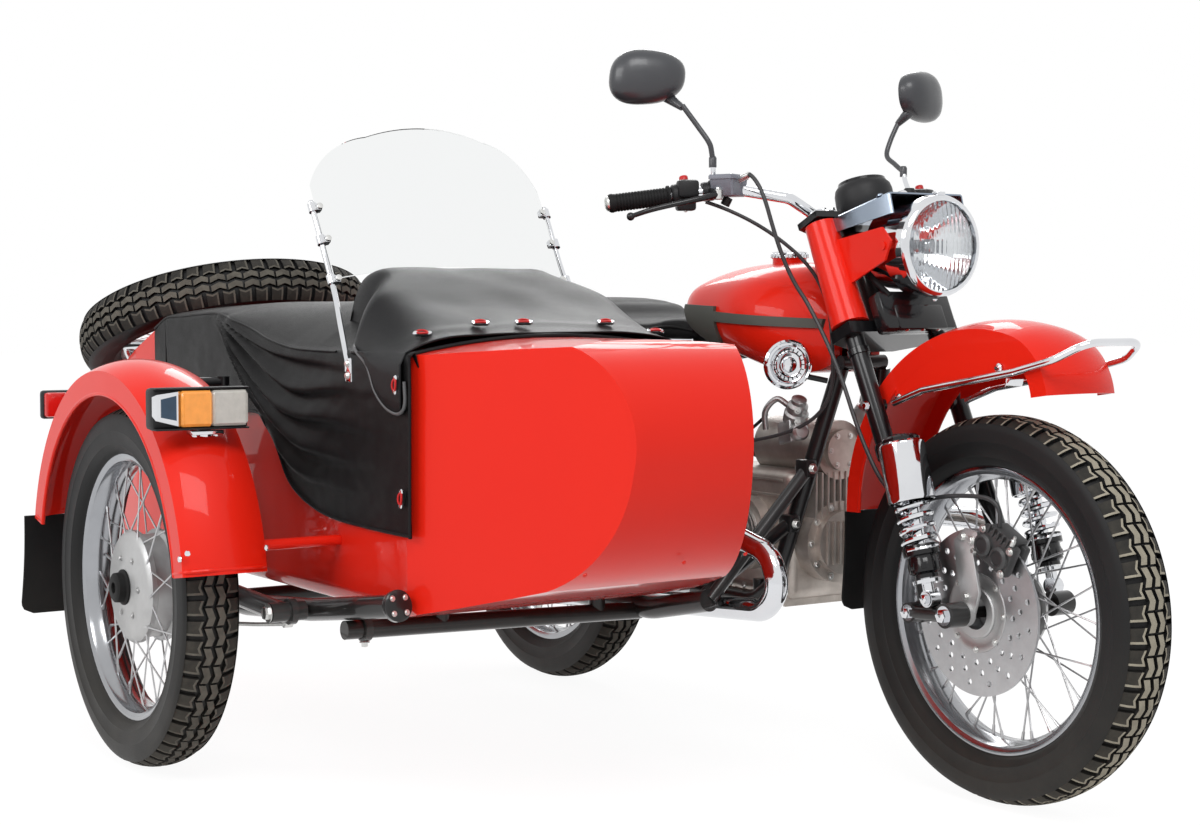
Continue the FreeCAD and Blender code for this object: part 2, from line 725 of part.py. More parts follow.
def main_frame():
    tubes = [tube(frame_line, size.frame_tube, 70)]
    tubes.append(tube([(640, 50, seat_rail_z - 4), (560, 105, seat_rail_z),
                       (-150, rail_y, seat_rail_z)], 12, 80))
    tubes.append(bar(at(455, rail_y, cradle_z), at(455, rail_y, 344), 18))
    tubes.append(bar(at(86, rail_y, 748), at(86, 186, 748), 14))
    # Lugs that carry the engine
    for x, lug_z, face, radius in ((942.5, 334, 93.3, 7.5), (600, 352, 92.3, 9)):
        tubes.append(bar(at(x, rail_y, cradle_z), at(x, rail_y, lug_z + radius + 4), 12))
        tubes.append(bar(at(x, rail_y, lug_z), at(x, face, lug_z), radius))
    # Lugs that carry the centre stand
    stand_x, stand_z = float(size.stand_x), float(size.stand_z)
    lug = plate([(stand_x - 20, 100, cradle_z + 6), (stand_x + 20, 100, cradle_z + 6),
                 (stand_x + 13, 100, stand_z - 14), (stand_x - 13, 100, stand_z - 14)], Y * 13)
    tubes.append(lug.cut(bar(at(stand_x, 90, stand_z), at(stand_x, 120, stand_z), 9.05)))
    parts = []
    for one in tubes:
        parts += pair(one)
    steer = bar(on_axis(6), on_axis(float(size.stem_length) - 8), 27)
    parts.append(bar(backbone_front, backbone_rear, 20))
    # Cushions that the tank sits on
    along = (backbone_rear - backbone_front).normalize()
    for reach in (70, 380):
        spot = backbone_front + along * reach
        parts.append(bar(spot, spot + along * 26, tunnel_radius - float(size.fit_gap)))
    parts.append(plate([(1125, -8, 880), (1106, -8, 778), (1060, -8, 762), (1010, -8, 850)],
                       Y * 16))
    for x, y, z, radius in ((1104, 54, 773, 14), (455, rail_y, 296, 12),
                            (-120, rail_y, seat_rail_z, 10), (628, 56, seat_rail_z - 4, 11),
                            (378, rail_y, cradle_z - 7, 11)):
        parts.append(bar(at(x, -y, z), at(x, y, z), radius))
    whole = fused(parts + [steer])
    return whole.cut(bar(on_axis(-4), on_axis(float(size.stem_length) + 4), 14))


node("main_frame", shaped("main_frame_shape", main_frame()))

crank = at(size.crank_x, 0, size.crank_z)


def rounded_box(x0, x1, half, z0, z1, radius):
    box = Part.makeBox(x1 - x0, 2 * half, z1 - z0, Vector(x0, -half, z0))
    return box.makeFillet(radius, box.Edges)


def engine_case():
    half = float(size.case_half_width)
    parts = [rounded_box(735, 1000, half - 27, 304, 560, 22)]
    parts.append(bar(crank - Y * half, crank + Y * half, 74))
    parts.append(bar(at(995, 0, 420), at(1040, 0, 420), 80))
    parts.append(bar(at(1035, 0, 420), at(1056, 0, 420), 62))
    parts.append(bar(at(840, 0, 600), at(1040, 0, 600), 58))
    parts.append(bar(at(1036, 0, 600), at(1052, 0, 600), 40))
    parts.append(bar(at(690, 0, 410), at(745, 0, 410), 132))
    parts.append(rounded_box(478, 720, 92, 316, 500, 24))
    parts.append(bar(at(478, -92, 380), at(560, -92, 380), 40))
    for i in range(9):
        x = 770 + i * 26
        parts.append(Part.makeBox(7, 180, 24, Vector(x, -90, 292)))
    parts.append(bar(at(560, 80, 372), at(560, 128, 372), 16))
    return fused(parts)


node("engine_case", shaped("engine_case_shape", engine_case()))


def cylinders():
    """Finned barrels, finned heads and rocker covers, one each side."""
    foot = float(size.case_half_width) + size.fit_gap.number
    length, radius = float(size.barrel_length), float(size.barrel_radius)
    root = 46
    profile = [(0, 0), (radius - 4, 0), (radius - 4, 8), (root, 8)]
    pitch = (length - 16) / 9
    for i in range(9):
        low = 14 + i * pitch
        profile += [(root, low), (radius, low), (radius, low + 4), (root, low + 4)]
    profile += [(root, length), (0, length)]
    barrel = turned_shape(profile, crank + Y * foot, Y)
    start = foot + length
    block_length = 38.0
    head_block = Part.makeBox(120, block_length, 118, crank + Vector(-60, start, -59))
    fins = [Part.makeBox(140, 4, 136, crank + Vector(-70, start + 3 + i * 10, -68))
            for i in range(4)]
    cover = Part.makeBox(112, float(size.head_length) - block_length + 4, 104,
                         crank + Vector(-56, start + block_length - 4, -52))
    cover = cover.makeFillet(14, cover.Edges)
    one = fused([barrel, head_block, cover] + fins)
    return Part.makeCompound(pair(one))


node("cylinders", shaped("cylinders_shape", cylinders()))


def intake():
    """Carburettors behind the heads, their ducts and the air filter can."""
    duct = tube([(809.6, 268, 480), (784, 268, 480), (740, 246, 512), (660, 215, 530),
                 (600, 120, 578), (560, 60, 585)], 19, 40)
    carb = bar(at(728, 243, 462), at(728, 243, 562), 26)
    bowl = bar(at(728, 243, 440), at(728, 243, 470), 31)
    parts = [bar(at(478, 0, 590), at(612, 0, 590), 76), bar(at(540, 0, 500.3), at(540, 0, 522), 14)]
    for one in (duct, carb, bowl):
        parts += pair(one)
    return fused(parts)


node("intake", shaped("intake_shape", intake()))


def exhaust():
    """Header pipes looping ahead of the heads, then back to a silencer on each side."""
    line = [(952, 292, 452), (1110, 300, 454), (1204, 300, 432), (1229, 300, 372),
            (1190, 299, 328), (990, 290, 312), (720, 280, 291), (420, 262, 264), (305, 250, 256)]
    pipe = tube(line, size.pipe_radius, 60)
    nut = bar(at(950.3, 292, 452), at(972, 292, 452), 30)
    can = turned_shape([(0, 0), (24, 0), (float(size.muffler_radius), 70),
                        (float(size.muffler_radius), 500), (26, 590), (20, 600), (0, 600)],
                       at(310, 250, 256), Vector(-1, 0, 0.02))
    return Part.makeCompound(pair(fused([pipe, nut, can])))


node("exhaust", shaped("exhaust_shape", exhaust()))

# ---------------------------------------------------------------- tank, saddle, rear end

TANK_SECTIONS = (
    # x, bottom z, bottom half width, waist share of half width, waist z, shoulder share,
    # shoulder z, top below the highest point
    (655, 838, 52, 0.56, 870, 0.42, 905, 42),
    (730, 815, 80, 0.86, 862, 0.66, 926, 18),
    (850, 782, 96, 1.00, 850, 0.74, 936, 2),
    (960, 758, 98, 0.95, 838, 0.68, 932, 2),
    (1040, 752, 84, 0.64, 822, 0.42, 906, 22),
    (1085, 772, 56, 0.40, 818, 0.26, 868, 76),
)


def tank_solid(grow):
    """The tank's outside, or a skin that stands off it by grow."""
    sections = []
    for x, low, foot, waist, waist_z, shoulder, shoulder_z, drop in TANK_SECTIONS:
        half = float(size.tank_half_width)
        a = Vector(x, foot + grow, low - grow)
        b = Vector(x, half * waist + grow, waist_z)
        c = Vector(x, half * shoulder + grow, shoulder_z + grow)
        top = Vector(x, 0, float(size.tank_top) - drop + grow)
        b2, c2, a2 = (Vector(p.x, -p.y, p.z) for p in (b, c, a))
        sections.append(Part.Wire([
            Part.LineSegment(a2, a).toShape(), Part.Arc(a, b, c).toShape(),
            Part.Arc(c, top, c2).toShape(), Part.Arc(c2, b2, a2).toShape()]))
    return Part.makeLoft(sections, True, False)


def fuel_tank():
    beyond = (backbone_front - backbone_rear).normalize() * 40
    tunnel = bar(backbone_front + beyond, backbone_rear - beyond, tunnel_radius)
    slot = plate([(1145, -14, 873), (1145, -14, 700), (600, -14, 700), (600, -14, 775)], Y * 28)
    cap = bar(at(880, 0, 960), at(880, 0, 982), 34)
    throat = plate([(1180, -40, 905), (1180, -40, 700), (1050, -40, 700), (1075, -40, 905)], Y * 80)
    return tank_solid(0).cut(fused([tunnel, slot, throat])).fuse(cap).removeSplitter()


def knee_pads():
    skin = tank_solid(7).cut(tank_solid(0.3))
    pad = [(684, 200, 812), (700, 200, 800), (820, 200, 800), (836, 200, 816), (836, 200, 880),
           (700, 200, 884), (684, 200, 872)]
    strap = [(830, 200, 850), (1070, 200, 838), (1070, 200, 856), (830, 200, 870)]
    parts = []
    for ring in (pad, strap):
        parts.append(plate(ring, Y * -140))
    one = skin.common(fused(parts))
    return Part.makeCompound(pair(one))


node("fuel_tank", shaped("fuel_tank_shape", fuel_tank()))
node("knee_pads", shaped("knee_pads_shape", knee_pads()))

saddle_floor = seat_rail_z + 12.3


def saddle():
    side = [(-158, 868), (-120, 893), (262, 893), (345, 882), (412, 846), (500, 840), (592, 853),
            (640, 838), (640, saddle_floor), (-158, saddle_floor)]
    half = float(size.seat_width) / 2
    body = plate([(x, half, z) for x, z in side], Y * -2 * half)
    plan = [(640, 62), (560, 92), (420, half - 12), (200, half), (-110, half), (-158, half - 30)]
    ring = [(x, y, 700) for x, y in plan] + [(x, -y, 700) for x, y in reversed(plan)]
    return body.common(plate(ring, Z * 300))


node("saddle", shaped("saddle_shape", saddle()))
node("rear_fender", shaped("rear_fender_shape", fused([
    arch(rear_axle, size.rear_fender_radius, size.rear_fender_half, 60, 18, 48, 200,
         size.fender_wall),
    bar(at(-120, 0, 722), at(-120, 0, seat_rail_z - 10.3), 9),
    bar(at(-366, 0, 498), at(-391.7, 0, 498), 14)])))

tail = at(-398, 0, 498)


def tail_lamp():
    foot = Part.makeBox(30, 84, 66, Vector(-30, -42, -33))
    lens = Part.makeBox(40, 76, 58, Vector(-66, -38, -29))
    lens = lens.makeFillet(10, lens.Edges)
    whole = fused([foot, lens])
    whole.translate(tail + Vector(6, 0, 0))
    return whole


def plate_bracket():
    wide, high = float(size.plate_width), float(size.plate_height)
    board = Part.makeBox(3, wide, high, Vector(-1.5, -wide / 2, -high / 2))
    holes = []
    for y in (-1, 1):
        for z in (-1, 1):
            spot = Vector(-5, y * float(size.plate_hole_x) / 2, z * float(size.plate_hole_z) / 2)
            holes.append(bar(spot, spot + X * 10, size.plate_hole))
    arm = Part.makeBox(64.4, 40, 12, Vector(0, -20, 20))
    whole = board.cut(Part.makeCompound(holes)).fuse(arm).removeSplitter()
    whole.translate(tail + Vector(-60, 0, -112))
    return whole


node("tail_lamp", shaped("tail_lamp_shape", tail_lamp()))
node("plate_bracket", shaped("plate_bracket_shape", plate_bracket()))

rear_strut, rear_coil = strut(at(86, 172, 748), at(22, 172, 372), 130, 26, 29, 11)
node("rear_shocks", shaped("rear_shocks_shape", Part.makeCompound(pair(rear_strut))))


def swingarm():
    """Swing arm, shaft tunnel and bevel drive on the right, with the axle."""
    z_axle = float(size.wheel_radius)
    parts = [bar(at(455, -103.7, 332), at(455, 103.7, 332), 19)]
    parts.append(bar(at(455, 85, 332), at(0, 85, z_axle), 17))
    parts.append(bar(at(455, -85, 332), at(60, -85, z_axle), 19))
    parts.append(bar(rear_axle - Y * 138, rear_axle + Y * 122, size.axle_radius))
    parts.append(bar(at(0, 68, z_axle), at(0, 106, z_axle), 24))
    drive = turned_shape([(9, 0), (60, 0), (92, 12), (96, 26), (92, 52), (50, 74), (9, 74)],
                         at(0, -138, z_axle), Y)
    parts.append(drive)
    for side in (-1, 1):
        parts.append(bar(at(22, side * 86, 352), at(22, side * 142, 372), 11))
        parts.append(bar(at(22, side * 140, 372), at(22, side * 160.7, 372), 11))
    return fused(parts)


node("swingarm", shaped("swingarm_shape", swingarm()))


def side_boxes():
    solid = Part.makeBox(178, 62, 206, Vector(252, 106, 530))
    solid = solid.makeFillet(14, solid.Edges)
    strap = bar(at(340, 112, 730), at(340, 112, seat_rail_z - 12.3), 8)
    return Part.makeCompound(pair(fused([solid, strap])))


node("side_boxes", shaped("side_boxes_shape", side_boxes()))


def foot_controls():
    """Rider's pegs, brake pedal, shift and kick levers."""
    parts = []
    peg = bar(at(560, 142, cradle_z), at(560, 232, cradle_z), 17)
    root = bar(at(560, rail_y + 16.3, cradle_z), at(560, 146, cradle_z), 12)
    for one in (peg, root):
        parts += pair(one)
    return Part.makeCompound([fused([parts[0], parts[2]]), fused([parts[1], parts[3]])])


def kick_lever():
    arm = tube([(560, 128.3, 372), (560, 152, 372), (480, 156, 440), (420, 160, 510)], 9, 20)
    pedal = bar(at(420, 156, 510), at(420, 232, 510), 12)
    boss = bar(at(560, 128.3, 372), at(560, 148, 372), 20)
    shift = tube([(620, 92.3, 356), (620, 148, 356), (670, 158, 340), (730, 170, 330)], 8, 20)
    toe = bar(at(730, 150, 330), at(730, 214, 330), 12)
    brake = tube([(640, -138.3, 304), (640, -168, 304), (690, -176, 294), (748, -176, 306)], 8, 20)
    pad = bar(at(748, -160, 306), at(748, -222, 306), 14)
    return Part.makeCompound([fused([arm, pedal, boss]), fused([shift, toe]), fused([brake, pad])])


node("foot_controls", shaped("foot_controls_shape", Part.makeCompound(
    foot_controls().Solids + kick_lever().Solids)))

horn_spot = at(1060, -148, 770)
node("horn", turned("horn_disc", [
    (0, -26), (34, -24), (44, -10), (46, 0), (46, 10), (36, 14), (20, 12), (0, 16)],
    horn_spot, Vector(0.93, -0.34, -0.05)),
    shaped("horn_bracket", bar(at(1086.3, -70.4, 737.8), at(1042, -142, 757), 6)))


def centre_stand():
    """U-shaped stand, folded back under the gearbox."""
    x, z = float(size.stand_x), float(size.stand_z)
    tip = x - float(size.stand_length)
    leg = tube([(x, 84, z), (x - 120, 84, z - 8), (tip, 104, z - 14)], 11, 30)
    foot = bar(at(tip, 88, z - 14), at(tip, 122, z - 14), 13)
    pivot = bar(at(x, 66, z), at(x, 97, z), 17)
    parts = [bar(at(x, -114, z), at(x, 114, z), 9),
             bar(at(x - 34, -84, z - 3), at(x - 34, 84, z - 3), 8)]
    for one in (leg, foot, pivot):
        parts += pair(one)
    return fused(parts)


node("centre_stand", shaped("centre_stand_shape", centre_stand()))

# ---------------------------------------------------------------- sidecar body

middle = -float(size.body_plane)
slope = math.radians(float(size.lid_slope))
hinge = at(size.lid_hinge_x, middle, size.lid_hinge_z)
down_slope = Vector(-math.cos(slope), 0, -math.sin(slope))
off_slope = Vector(-math.sin(slope), 0, math.cos(slope))
deck_gap = 5.0
lid_half_thick = float(size.lid_thickness) / 2


def on_slope(along, off=0.0, side=0.0):
    """A point by its way down the boot's slope from the hinge, off it and to the left."""
    return hinge + down_slope * along + off_slope * off + Vector(0, side, 0)


def prism_y(edges):
    face = Part.Face(Part.Wire(edges))
    face.translate(Vector(0, middle - 400, 0))
    return face.extrude(Y * 800)


def line(a, b):
    return Part.LineSegment(Vector(*a), Vector(*b)).toShape()


def arc(a, b, c):
    return Part.Arc(Vector(*a), Vector(*b), Vector(*c)).toShape()


def tub_form(inset):
    """The sidecar body's outside, or the same form inset by a wall."""
    i = float(inset)
    front, floor = float(size.nose_x) - i, float(size.body_floor) + i
    top = float(size.belt) + float(size.crown) - i
    deck = on_slope(0, -lid_half_thick - deck_gap - i)
    tail_top = on_slope(668 - i, -lid_half_thick - deck_gap - i)
    seat_back = (hinge.x + 24, 0, deck.z + 12)
    rise = (150, 0, top)
    tail_low = (tail_top.x + 20, 0, 420 + i)
    side = prism_y([
        line(rise, (1262, 0, top)),
        arc((1262, 0, top), (1382 - i * 0.7, 0, top - 53), (front, 0, 612)),
        arc((front, 0, 612), (1374 - i * 0.7, 0, 492 + i * 0.7), (1262, 0, 410 + i)),
        arc((1262, 0, 410 + i), (1110, 0, 372 + i), (930, 0, floor)),
        line((930, 0, floor), (-650, 0, floor)),
        arc((-650, 0, floor), (-722 + i * 0.5, 0, 360 + i * 0.7), tail_low),
        arc(tail_low, (tail_top.x - 14, 0, 520), (tail_top.x, 0, tail_top.z)),
        line((tail_top.x, 0, tail_top.z), (hinge.x + 4, 0, deck.z - 1)),
        line((hinge.x + 4, 0, deck.z - 1), seat_back),
        line(seat_back, rise),
    ])
    half, nose = float(size.body_half_width) - i, float(size.nose_half_width) - i
    edge = float(size.nose_edge_x)
    plan = [(front + 30, nose - 12), (edge, half), (-300, half), (-800, half - 45)]
    ring = [Vector(x, middle + y, 200) for x, y in plan]
    ring += [Vector(x, middle - y, 200) for x, y in reversed(plan)]
    walls = outline(ring).extrude(Z * 900)
    belt = float(size.belt) - i
    low, corner = floor, 40.0

    def section(x, reach, shoulder, peak):
        left, right = middle - half - 0.5, middle + half + 0.5
        face = Part.Face(Part.Wire([
            line((x, left, low + corner), (x, left, shoulder)),
            arc((x, left, shoulder), (x, middle, peak), (x, right, shoulder)),
            line((x, right, shoulder), (x, right, low + corner)),
            arc((x, right, low + corner), (x, right - corner * 0.3, low + corner * 0.3),
                (x, right - corner, low)),
            line((x, right - corner, low), (x, left + corner, low)),
            arc((x, left + corner, low), (x, left + corner * 0.3, low + corner * 0.3),
                (x, left, low + corner)),
        ]))
        return face.extrude(X * reach)

    front_part = section(0, 1500, belt, belt + float(size.crown) + 0.5)
    back_part = section(-900, 900.5, belt + 55, belt + 125)
    form = side.common(walls)
    return form.common(front_part).fuse(form.common(back_part)).removeSplitter()


tub_outside = tub_form(0)
wall = float(size.body_wall)
bulkhead_x = hinge.x - 14
lid_open_half = float(size.lid_half_width) - 22
boot_start, boot_end = 60, float(size.lid_length) - 24


def slope_box(start, end, half, low, high):
    """A box lying on the boot's slope."""
    corners = [on_slope(start, low, -half), on_slope(end, low, -half), on_slope(end, low, half),
               on_slope(start, low, half)]
    return outline(corners).extrude(off_slope * (high - low))


def tub():
    cavity = tub_form(wall)
    cavity = cavity.cut(Part.makeBox(wall, 800, 900, Vector(bulkhead_x, middle - 400, 200)))
    shell = tub_outside.cut(cavity)
    opening_half = float(size.cockpit_half_width)
    start, end = float(size.cockpit_rear_x), float(size.cockpit_front_x)
    cockpit = Part.makeBox(end - start, 2 * opening_half, 300,
                           Vector(start, middle - opening_half, 740))
    boot = slope_box(boot_start, boot_end, lid_open_half, -60, 60)
    shell = shell.cut(cockpit).cut(boot)
    ears = []
    for side in (-150, 150):
        ear = plate([tuple(on_slope(-10, -30)), tuple(on_slope(8, -30)), tuple(on_slope(8, 9)),
                     tuple(on_slope(-10, 9))], Y * 8)
        ear.translate(Vector(0, side - 4, 0))
        ears.append(ear)
    whole = fused([shell] + ears)
    return whole.cut(bar(hinge - Y * 260, hinge + Y * 260, 5.3))


node("tub", shaped("tub_shape", tub()))

side_rail_z = 300


def struts_to_bike(inner):
    """Four struts from the inner rail, shaped to the bike's tubes that they meet."""
    room = fused(pair(tube(frame_line, float(size.frame_tube) + 0.3, 70)))
    ends = (
        # on the bike's tube, on the inner rail
        ((1024, -98, 470), (1040, inner + 5, 329)),
        ((330, -rail_y, cradle_z), (310, inner + 5, side_rail_z)),
        ((1053, -81, 578), (1080, inner + 5, 337)),
        ((152, -rail_y, 490), (170, inner + 5, side_rail_z)),
    )
    return [bar(at(*near), at(*far), 13).cut(room) for near, far in ends]


def sidecar_frame():
    """Rails and cross tubes under the body, struts to the bike and the wheel's arm mounts."""
    radius = float(size.side_tube)
    outer, inner = -985, -350
    parts = [tube([(-270, outer, side_rail_z), (440, outer, 302), (720, -982, 327),
                   (900, -972, 352), (1000, -955, 366)], radius, 200)]
    parts.append(tube([(-270, inner, side_rail_z), (900, inner, side_rail_z),
                       (1086, inner, side_rail_z + 38)], radius, 200))
    for x, z in ((-180, side_rail_z - 4), (300, side_rail_z - 4), (860, side_rail_z - 8)):
        parts.append(bar(at(x, outer, z + (16 if x == 860 else 0)), at(x, inner, z), 17))
    for x, y in ((-180, -450), (-180, -790), (860, -450), (860, -790)):
        z = side_rail_z - 4
        parts.append(bar(at(x, y, z), at(x, y, float(size.body_floor) - 0.3), 16))
    parts += struts_to_bike(inner)
    parts.append(bar(at(330, outer, 305), at(330, outer, 742), 13))
    parts.append(bar(at(330, outer, 730), at(330, -float(size.side_fender_inner) + 0.4, 730), 11))
    parts.append(bar(at(330, outer, 650), at(330, -1052, 650), 12))
    return fused(parts)


node("sidecar_frame", shaped("sidecar_frame_shape", sidecar_frame()))


def sidecar_arm():
    """Trailing arm and axle of the side wheel, with its pivot on the outer rail."""
    pivot = at(735, -1050, 330)
    y_axle = -float(size.track)
    parts = [bar(at(735, -1003.8, 330), at(735, -1072, 330), 18)]
    parts.append(bar(pivot, at(size.side_axle_x, -1050, size.wheel_radius), 19))
    parts.append(bar(at(size.side_axle_x, -1030, size.wheel_radius),
                     at(size.side_axle_x, y_axle - 58, size.wheel_radius), size.axle_radius))
    parts.append(bar(at(size.side_axle_x, -1034, size.wheel_radius),
                     at(size.side_axle_x, -1078, size.wheel_radius), 27))
    body, coil = strut(at(330, -1037, 650), at(430, -1041, 377.4), 110, 24, 28, 10)
    parts.append(body)
    return fused(parts), coil


arm_shape, side_coil = sidecar_arm()
node("sidecar_arm", shaped("sidecar_arm_shape", arm_shape))
node("rear_springs", shaped("rear_springs_shape", Part.makeCompound(
    pair(rear_coil) + [side_coil])))

side_fender_half = float(size.side_fender_outer - size.side_fender_inner) / 2
side_fender_y = -float(size.side_fender_outer + size.side_fender_inner) / 2
side_fender_centre = at(350, side_fender_y, 352)


def sidecar_fender():
    """Deep fender of the side wheel, with the stays that hold it to the body."""
    shell = arch(side_fender_centre, 428, side_fender_half, 64, 22, 8, 167, size.fender_wall)
    y_in = -float(size.side_fender_inner)
    body_side = middle - float(size.body_half_width)
    stays = [bar(at(20, body_side - 0.3, 550), at(20, y_in - 2, 550), 10),
             bar(at(722, body_side - 0.3, 452), at(722, y_in - 2, 452), 10)]
    stays.append(bar(at(618, -1165, 694), at(651.7, -1165, 694), 14))
    stays.append(bar(at(66, -1185, 676), at(34.3, -1185, 676), 12))
    return fused([shell] + stays)


node("sidecar_fender", shaped("sidecar_fender_shape", sidecar_fender()))
node("fender_flap", shaped("fender_flap_shape", plate(
    [(-66, side_fender_y - 95, 446), (-66, side_fender_y + 95, 446), (-96, side_fender_y + 88, 236),
     (-96, side_fender_y - 88, 236)], Vector(4, 0, 1))))


def fender_lamps():
    """Front turn lamp across the fender's brow and the rear lamp on its tail."""
    box = Part.makeBox(54, 184, 76, Vector(652, -1272, 662))
    box = box.makeFillet(9, box.Edges)
    rear = Part.makeBox(44, 100, 58, Vector(-10, -1243, 650))
    rear = rear.makeFillet(9, rear.Edges)
    return Part.makeCompound([box, rear])


node("fender_lamps", shaped("fender_lamps_shape", fender_lamps()))


def cover():
    """The buttoned cover over the cockpit: a crowned top and its sides down the tub."""
    gap, skin = 0.5, 7.0
    keep_out = tub_form(-gap)
    grown = tub_form(-gap - skin)
    lower = [(-96, 0, 640), (262, 0, 690), (286, 0, 611), (310, 0, 534), (560, 0, 532),
             (735, 0, 492), (1030, 0, 488), (1000, 0, 900), (-96, 0, 960)]
    sides = outline([Vector(x, middle - 400, z) for x, y, z in lower]).extrude(Y * 800)
    skirts = grown.common(sides).cut(keep_out)
    half = float(size.body_half_width) - 2

    def section(x, base, shoulder, peak):
        return Part.Wire([
            line((x, middle - half, base), (x, middle - half, shoulder)),
            arc((x, middle - half, shoulder), (x, middle, peak), (x, middle + half, shoulder)),
            line((x, middle + half, shoulder), (x, middle + half, base)),
            line((x, middle + half, base), (x, middle - half, base)),
        ])

    dome = Part.makeLoft([section(-96, 780, 842, 872), section(240, 780, 840, 886),
                          section(656, 780, 838, 912)], True, True)
    return fused([skirts, dome.cut(keep_out)])


def cowl():
    """The screen's apron, from the nose's rear edge up to the screen's foot."""
    half = float(size.body_half_width) - 6
    keep_out = tub_form(-0.5)
    side = [(658, 0, 780), (658, 0, 925), (724, 0, 938), (984, 0, 828), (984, 0, 780)]
    block_form = outline([Vector(x, middle - half, z) for x, y, z in side]).extrude(Y * 2 * half)

    def section(x, shoulder, peak):
        return Part.Wire([
            line((x, middle - half, 770), (x, middle - half, shoulder)),
            arc((x, middle - half, shoulder), (x, middle, peak), (x, middle + half, shoulder)),
            line((x, middle + half, shoulder), (x, middle + half, 770)),
            line((x, middle + half, 770), (x, middle - half, 770)),
        ])

    hood = Part.makeLoft([section(658, 850, 940), section(724, 850, 944), section(984, 800, 834)],
                         True, True)
    return hood.common(block_form).cut(keep_out)


screen_lean = math.radians(float(size.screen_rake))
screen_up = Vector(-math.sin(screen_lean), 0, math.cos(screen_lean))
screen_foot = at(size.screen_foot_x, middle + 10, size.screen_foot_z)


def windscreen():
    """A clear pane, bowed forward in plan, with a rounded top."""
    half, bulge = float(size.screen_half_width), float(size.screen_bulge)
    thick = float(size.screen_thickness)
    ahead = Vector(math.cos(screen_lean), 0, math.sin(screen_lean))
    low, high = 186.0, float(size.screen_top) / math.cos(screen_lean)

    def bow(extra):
        ends = [Vector(0, s * (half - 6), 0) + ahead * extra for s in (-1, 1)]
        return Part.Arc(ends[0], ahead * (bulge + extra), ends[1]).toShape(), ends

    rear, rear_ends = bow(0)
    front, front_ends = bow(thick)
    face = Part.Face(Part.Wire([rear, Part.LineSegment(rear_ends[1], front_ends[1]).toShape(), front,
                                Part.LineSegment(front_ends[0], rear_ends[0]).toShape()]))
    face.translate(screen_foot + screen_up * low)
    sheet_form = face.extrude(screen_up * (high - low))

    def spot(up, side):
        return screen_foot + screen_up * up + Vector(0, side, 0) - ahead * 100

    trim = Part.Face(Part.Wire([
        Part.LineSegment(spot(low - 5, -half), spot(high - 130, -half)).toShape(),
        Part.Arc(spot(high - 130, -half), spot(high - 42, -half * 0.78),
                 spot(high - 18, -half * 0.5)).toShape(),
        Part.Arc(spot(high - 18, -half * 0.5), spot(high, 0), spot(high - 18, half * 0.5)).toShape(),
        Part.Arc(spot(high - 18, half * 0.5), spot(high - 42, half * 0.78),
                 spot(high - 130, half)).toShape(),
        Part.LineSegment(spot(high - 130, half), spot(low - 5, half)).toShape(),
        Part.LineSegment(spot(low - 5, half), spot(low - 5, -half)).toShape()]))
    return sheet_form.common(trim.extrude(ahead * 300))


def screen_posts(radius):
    """Posts beside the pane, from the tub's side up, or the room that they take."""
    half = float(size.screen_half_width)
    parts = []
    for side in (-1, 1):
        y = side * (half + 0.4)
        post = bar(screen_foot + screen_up * 72 + Vector(0, y, 0),
                   screen_foot + screen_up * 355 + Vector(0, y, 0), radius)
        parts.append(post)
    return Part.makeCompound(parts)


node("windscreen", shaped("windscreen_shape", windscreen()))
node("windscreen_posts", shaped("windscreen_posts_shape", screen_posts(6)))
apron_half = float(size.body_half_width) - 5.5
apron_room = Part.makeBox(400, 2 * apron_half, 400, Vector(657.5, middle - apron_half, 750))
node("apron", shaped("apron_shape", cowl().cut(screen_posts(6.5))))
node("tonneau", shaped("tonneau_shape", cover().cut(apron_room).cut(screen_posts(6.5))))


def trunk_lid():
    """The boot lid with its hinge pin and arms."""
    half, length = float(size.lid_half_width), float(size.lid_length)
    panel = slope_box(14, length, half, -lid_half_thick, lid_half_thick)
    upright = [e for e in panel.Edges if abs(e.Length - 2 * lid_half_thick) < 0.01]
    panel = panel.makeFillet(40, upright)
    pin = bar(hinge - Y * 170, hinge + Y * 170, 5)
    arms = []
    for side in (-130, 130):
        arm = slope_box(-7, 40, 9, -7, 7)
        arm.translate(Vector(0, side, 0))
        arms.append(arm)
    latch = slope_box(length - 24, length - 6, 18, lid_half_thick, lid_half_thick + 12)
    return fused([panel, pin, latch] + arms)


node("trunk_lid", shaped("trunk_lid_shape", trunk_lid()))

spare_centre = at(size.spare_x, middle, size.spare_z)
spare_off = (spare_centre - hinge).dot(off_slope)
spare_along = (spare_centre - hinge).dot(down_slope)


def spare_carrier():
    """Post and clamp that hold the spare wheel on the boot lid."""
    low = lid_half_thick + 0.3
    bore = spare_off + 46
    parts = [bar(on_slope(spare_along, low), on_slope(spare_along, bore + 20), 9.5)]
    parts.append(bar(on_slope(spare_along, low), on_slope(spare_along, low + 8), 70))
    parts.append(bar(on_slope(spare_along, spare_off + 43), on_slope(spare_along, bore + 10), 30))
    return fused(parts)


node("spare_carrier", shaped("spare_carrier_shape", spare_carrier()))
tyre = turned("spare_tyre_body", tyre_profile(), spare_centre, off_slope)
node("spare_tyre", tyre)
spare_ring = turned("spare_rim_ring", rim_profile(), spare_centre, off_slope)
spare_hub = turned("spare_hub", hub_profile("drum"), spare_centre, off_slope)
spare_wires = Part.makeCompound(spokes(Vector(), size.hub_radius, float(size.hub_width) / 2 - 12,
                                       36, 22))
spare_wires.Placement = Placement(spare_centre, Rotation(Y, off_slope))
node("spare_rim", spare_ring, spare_hub, shaped("spare_spokes", spare_wires))

# ---------------------------------------------------------------- cables

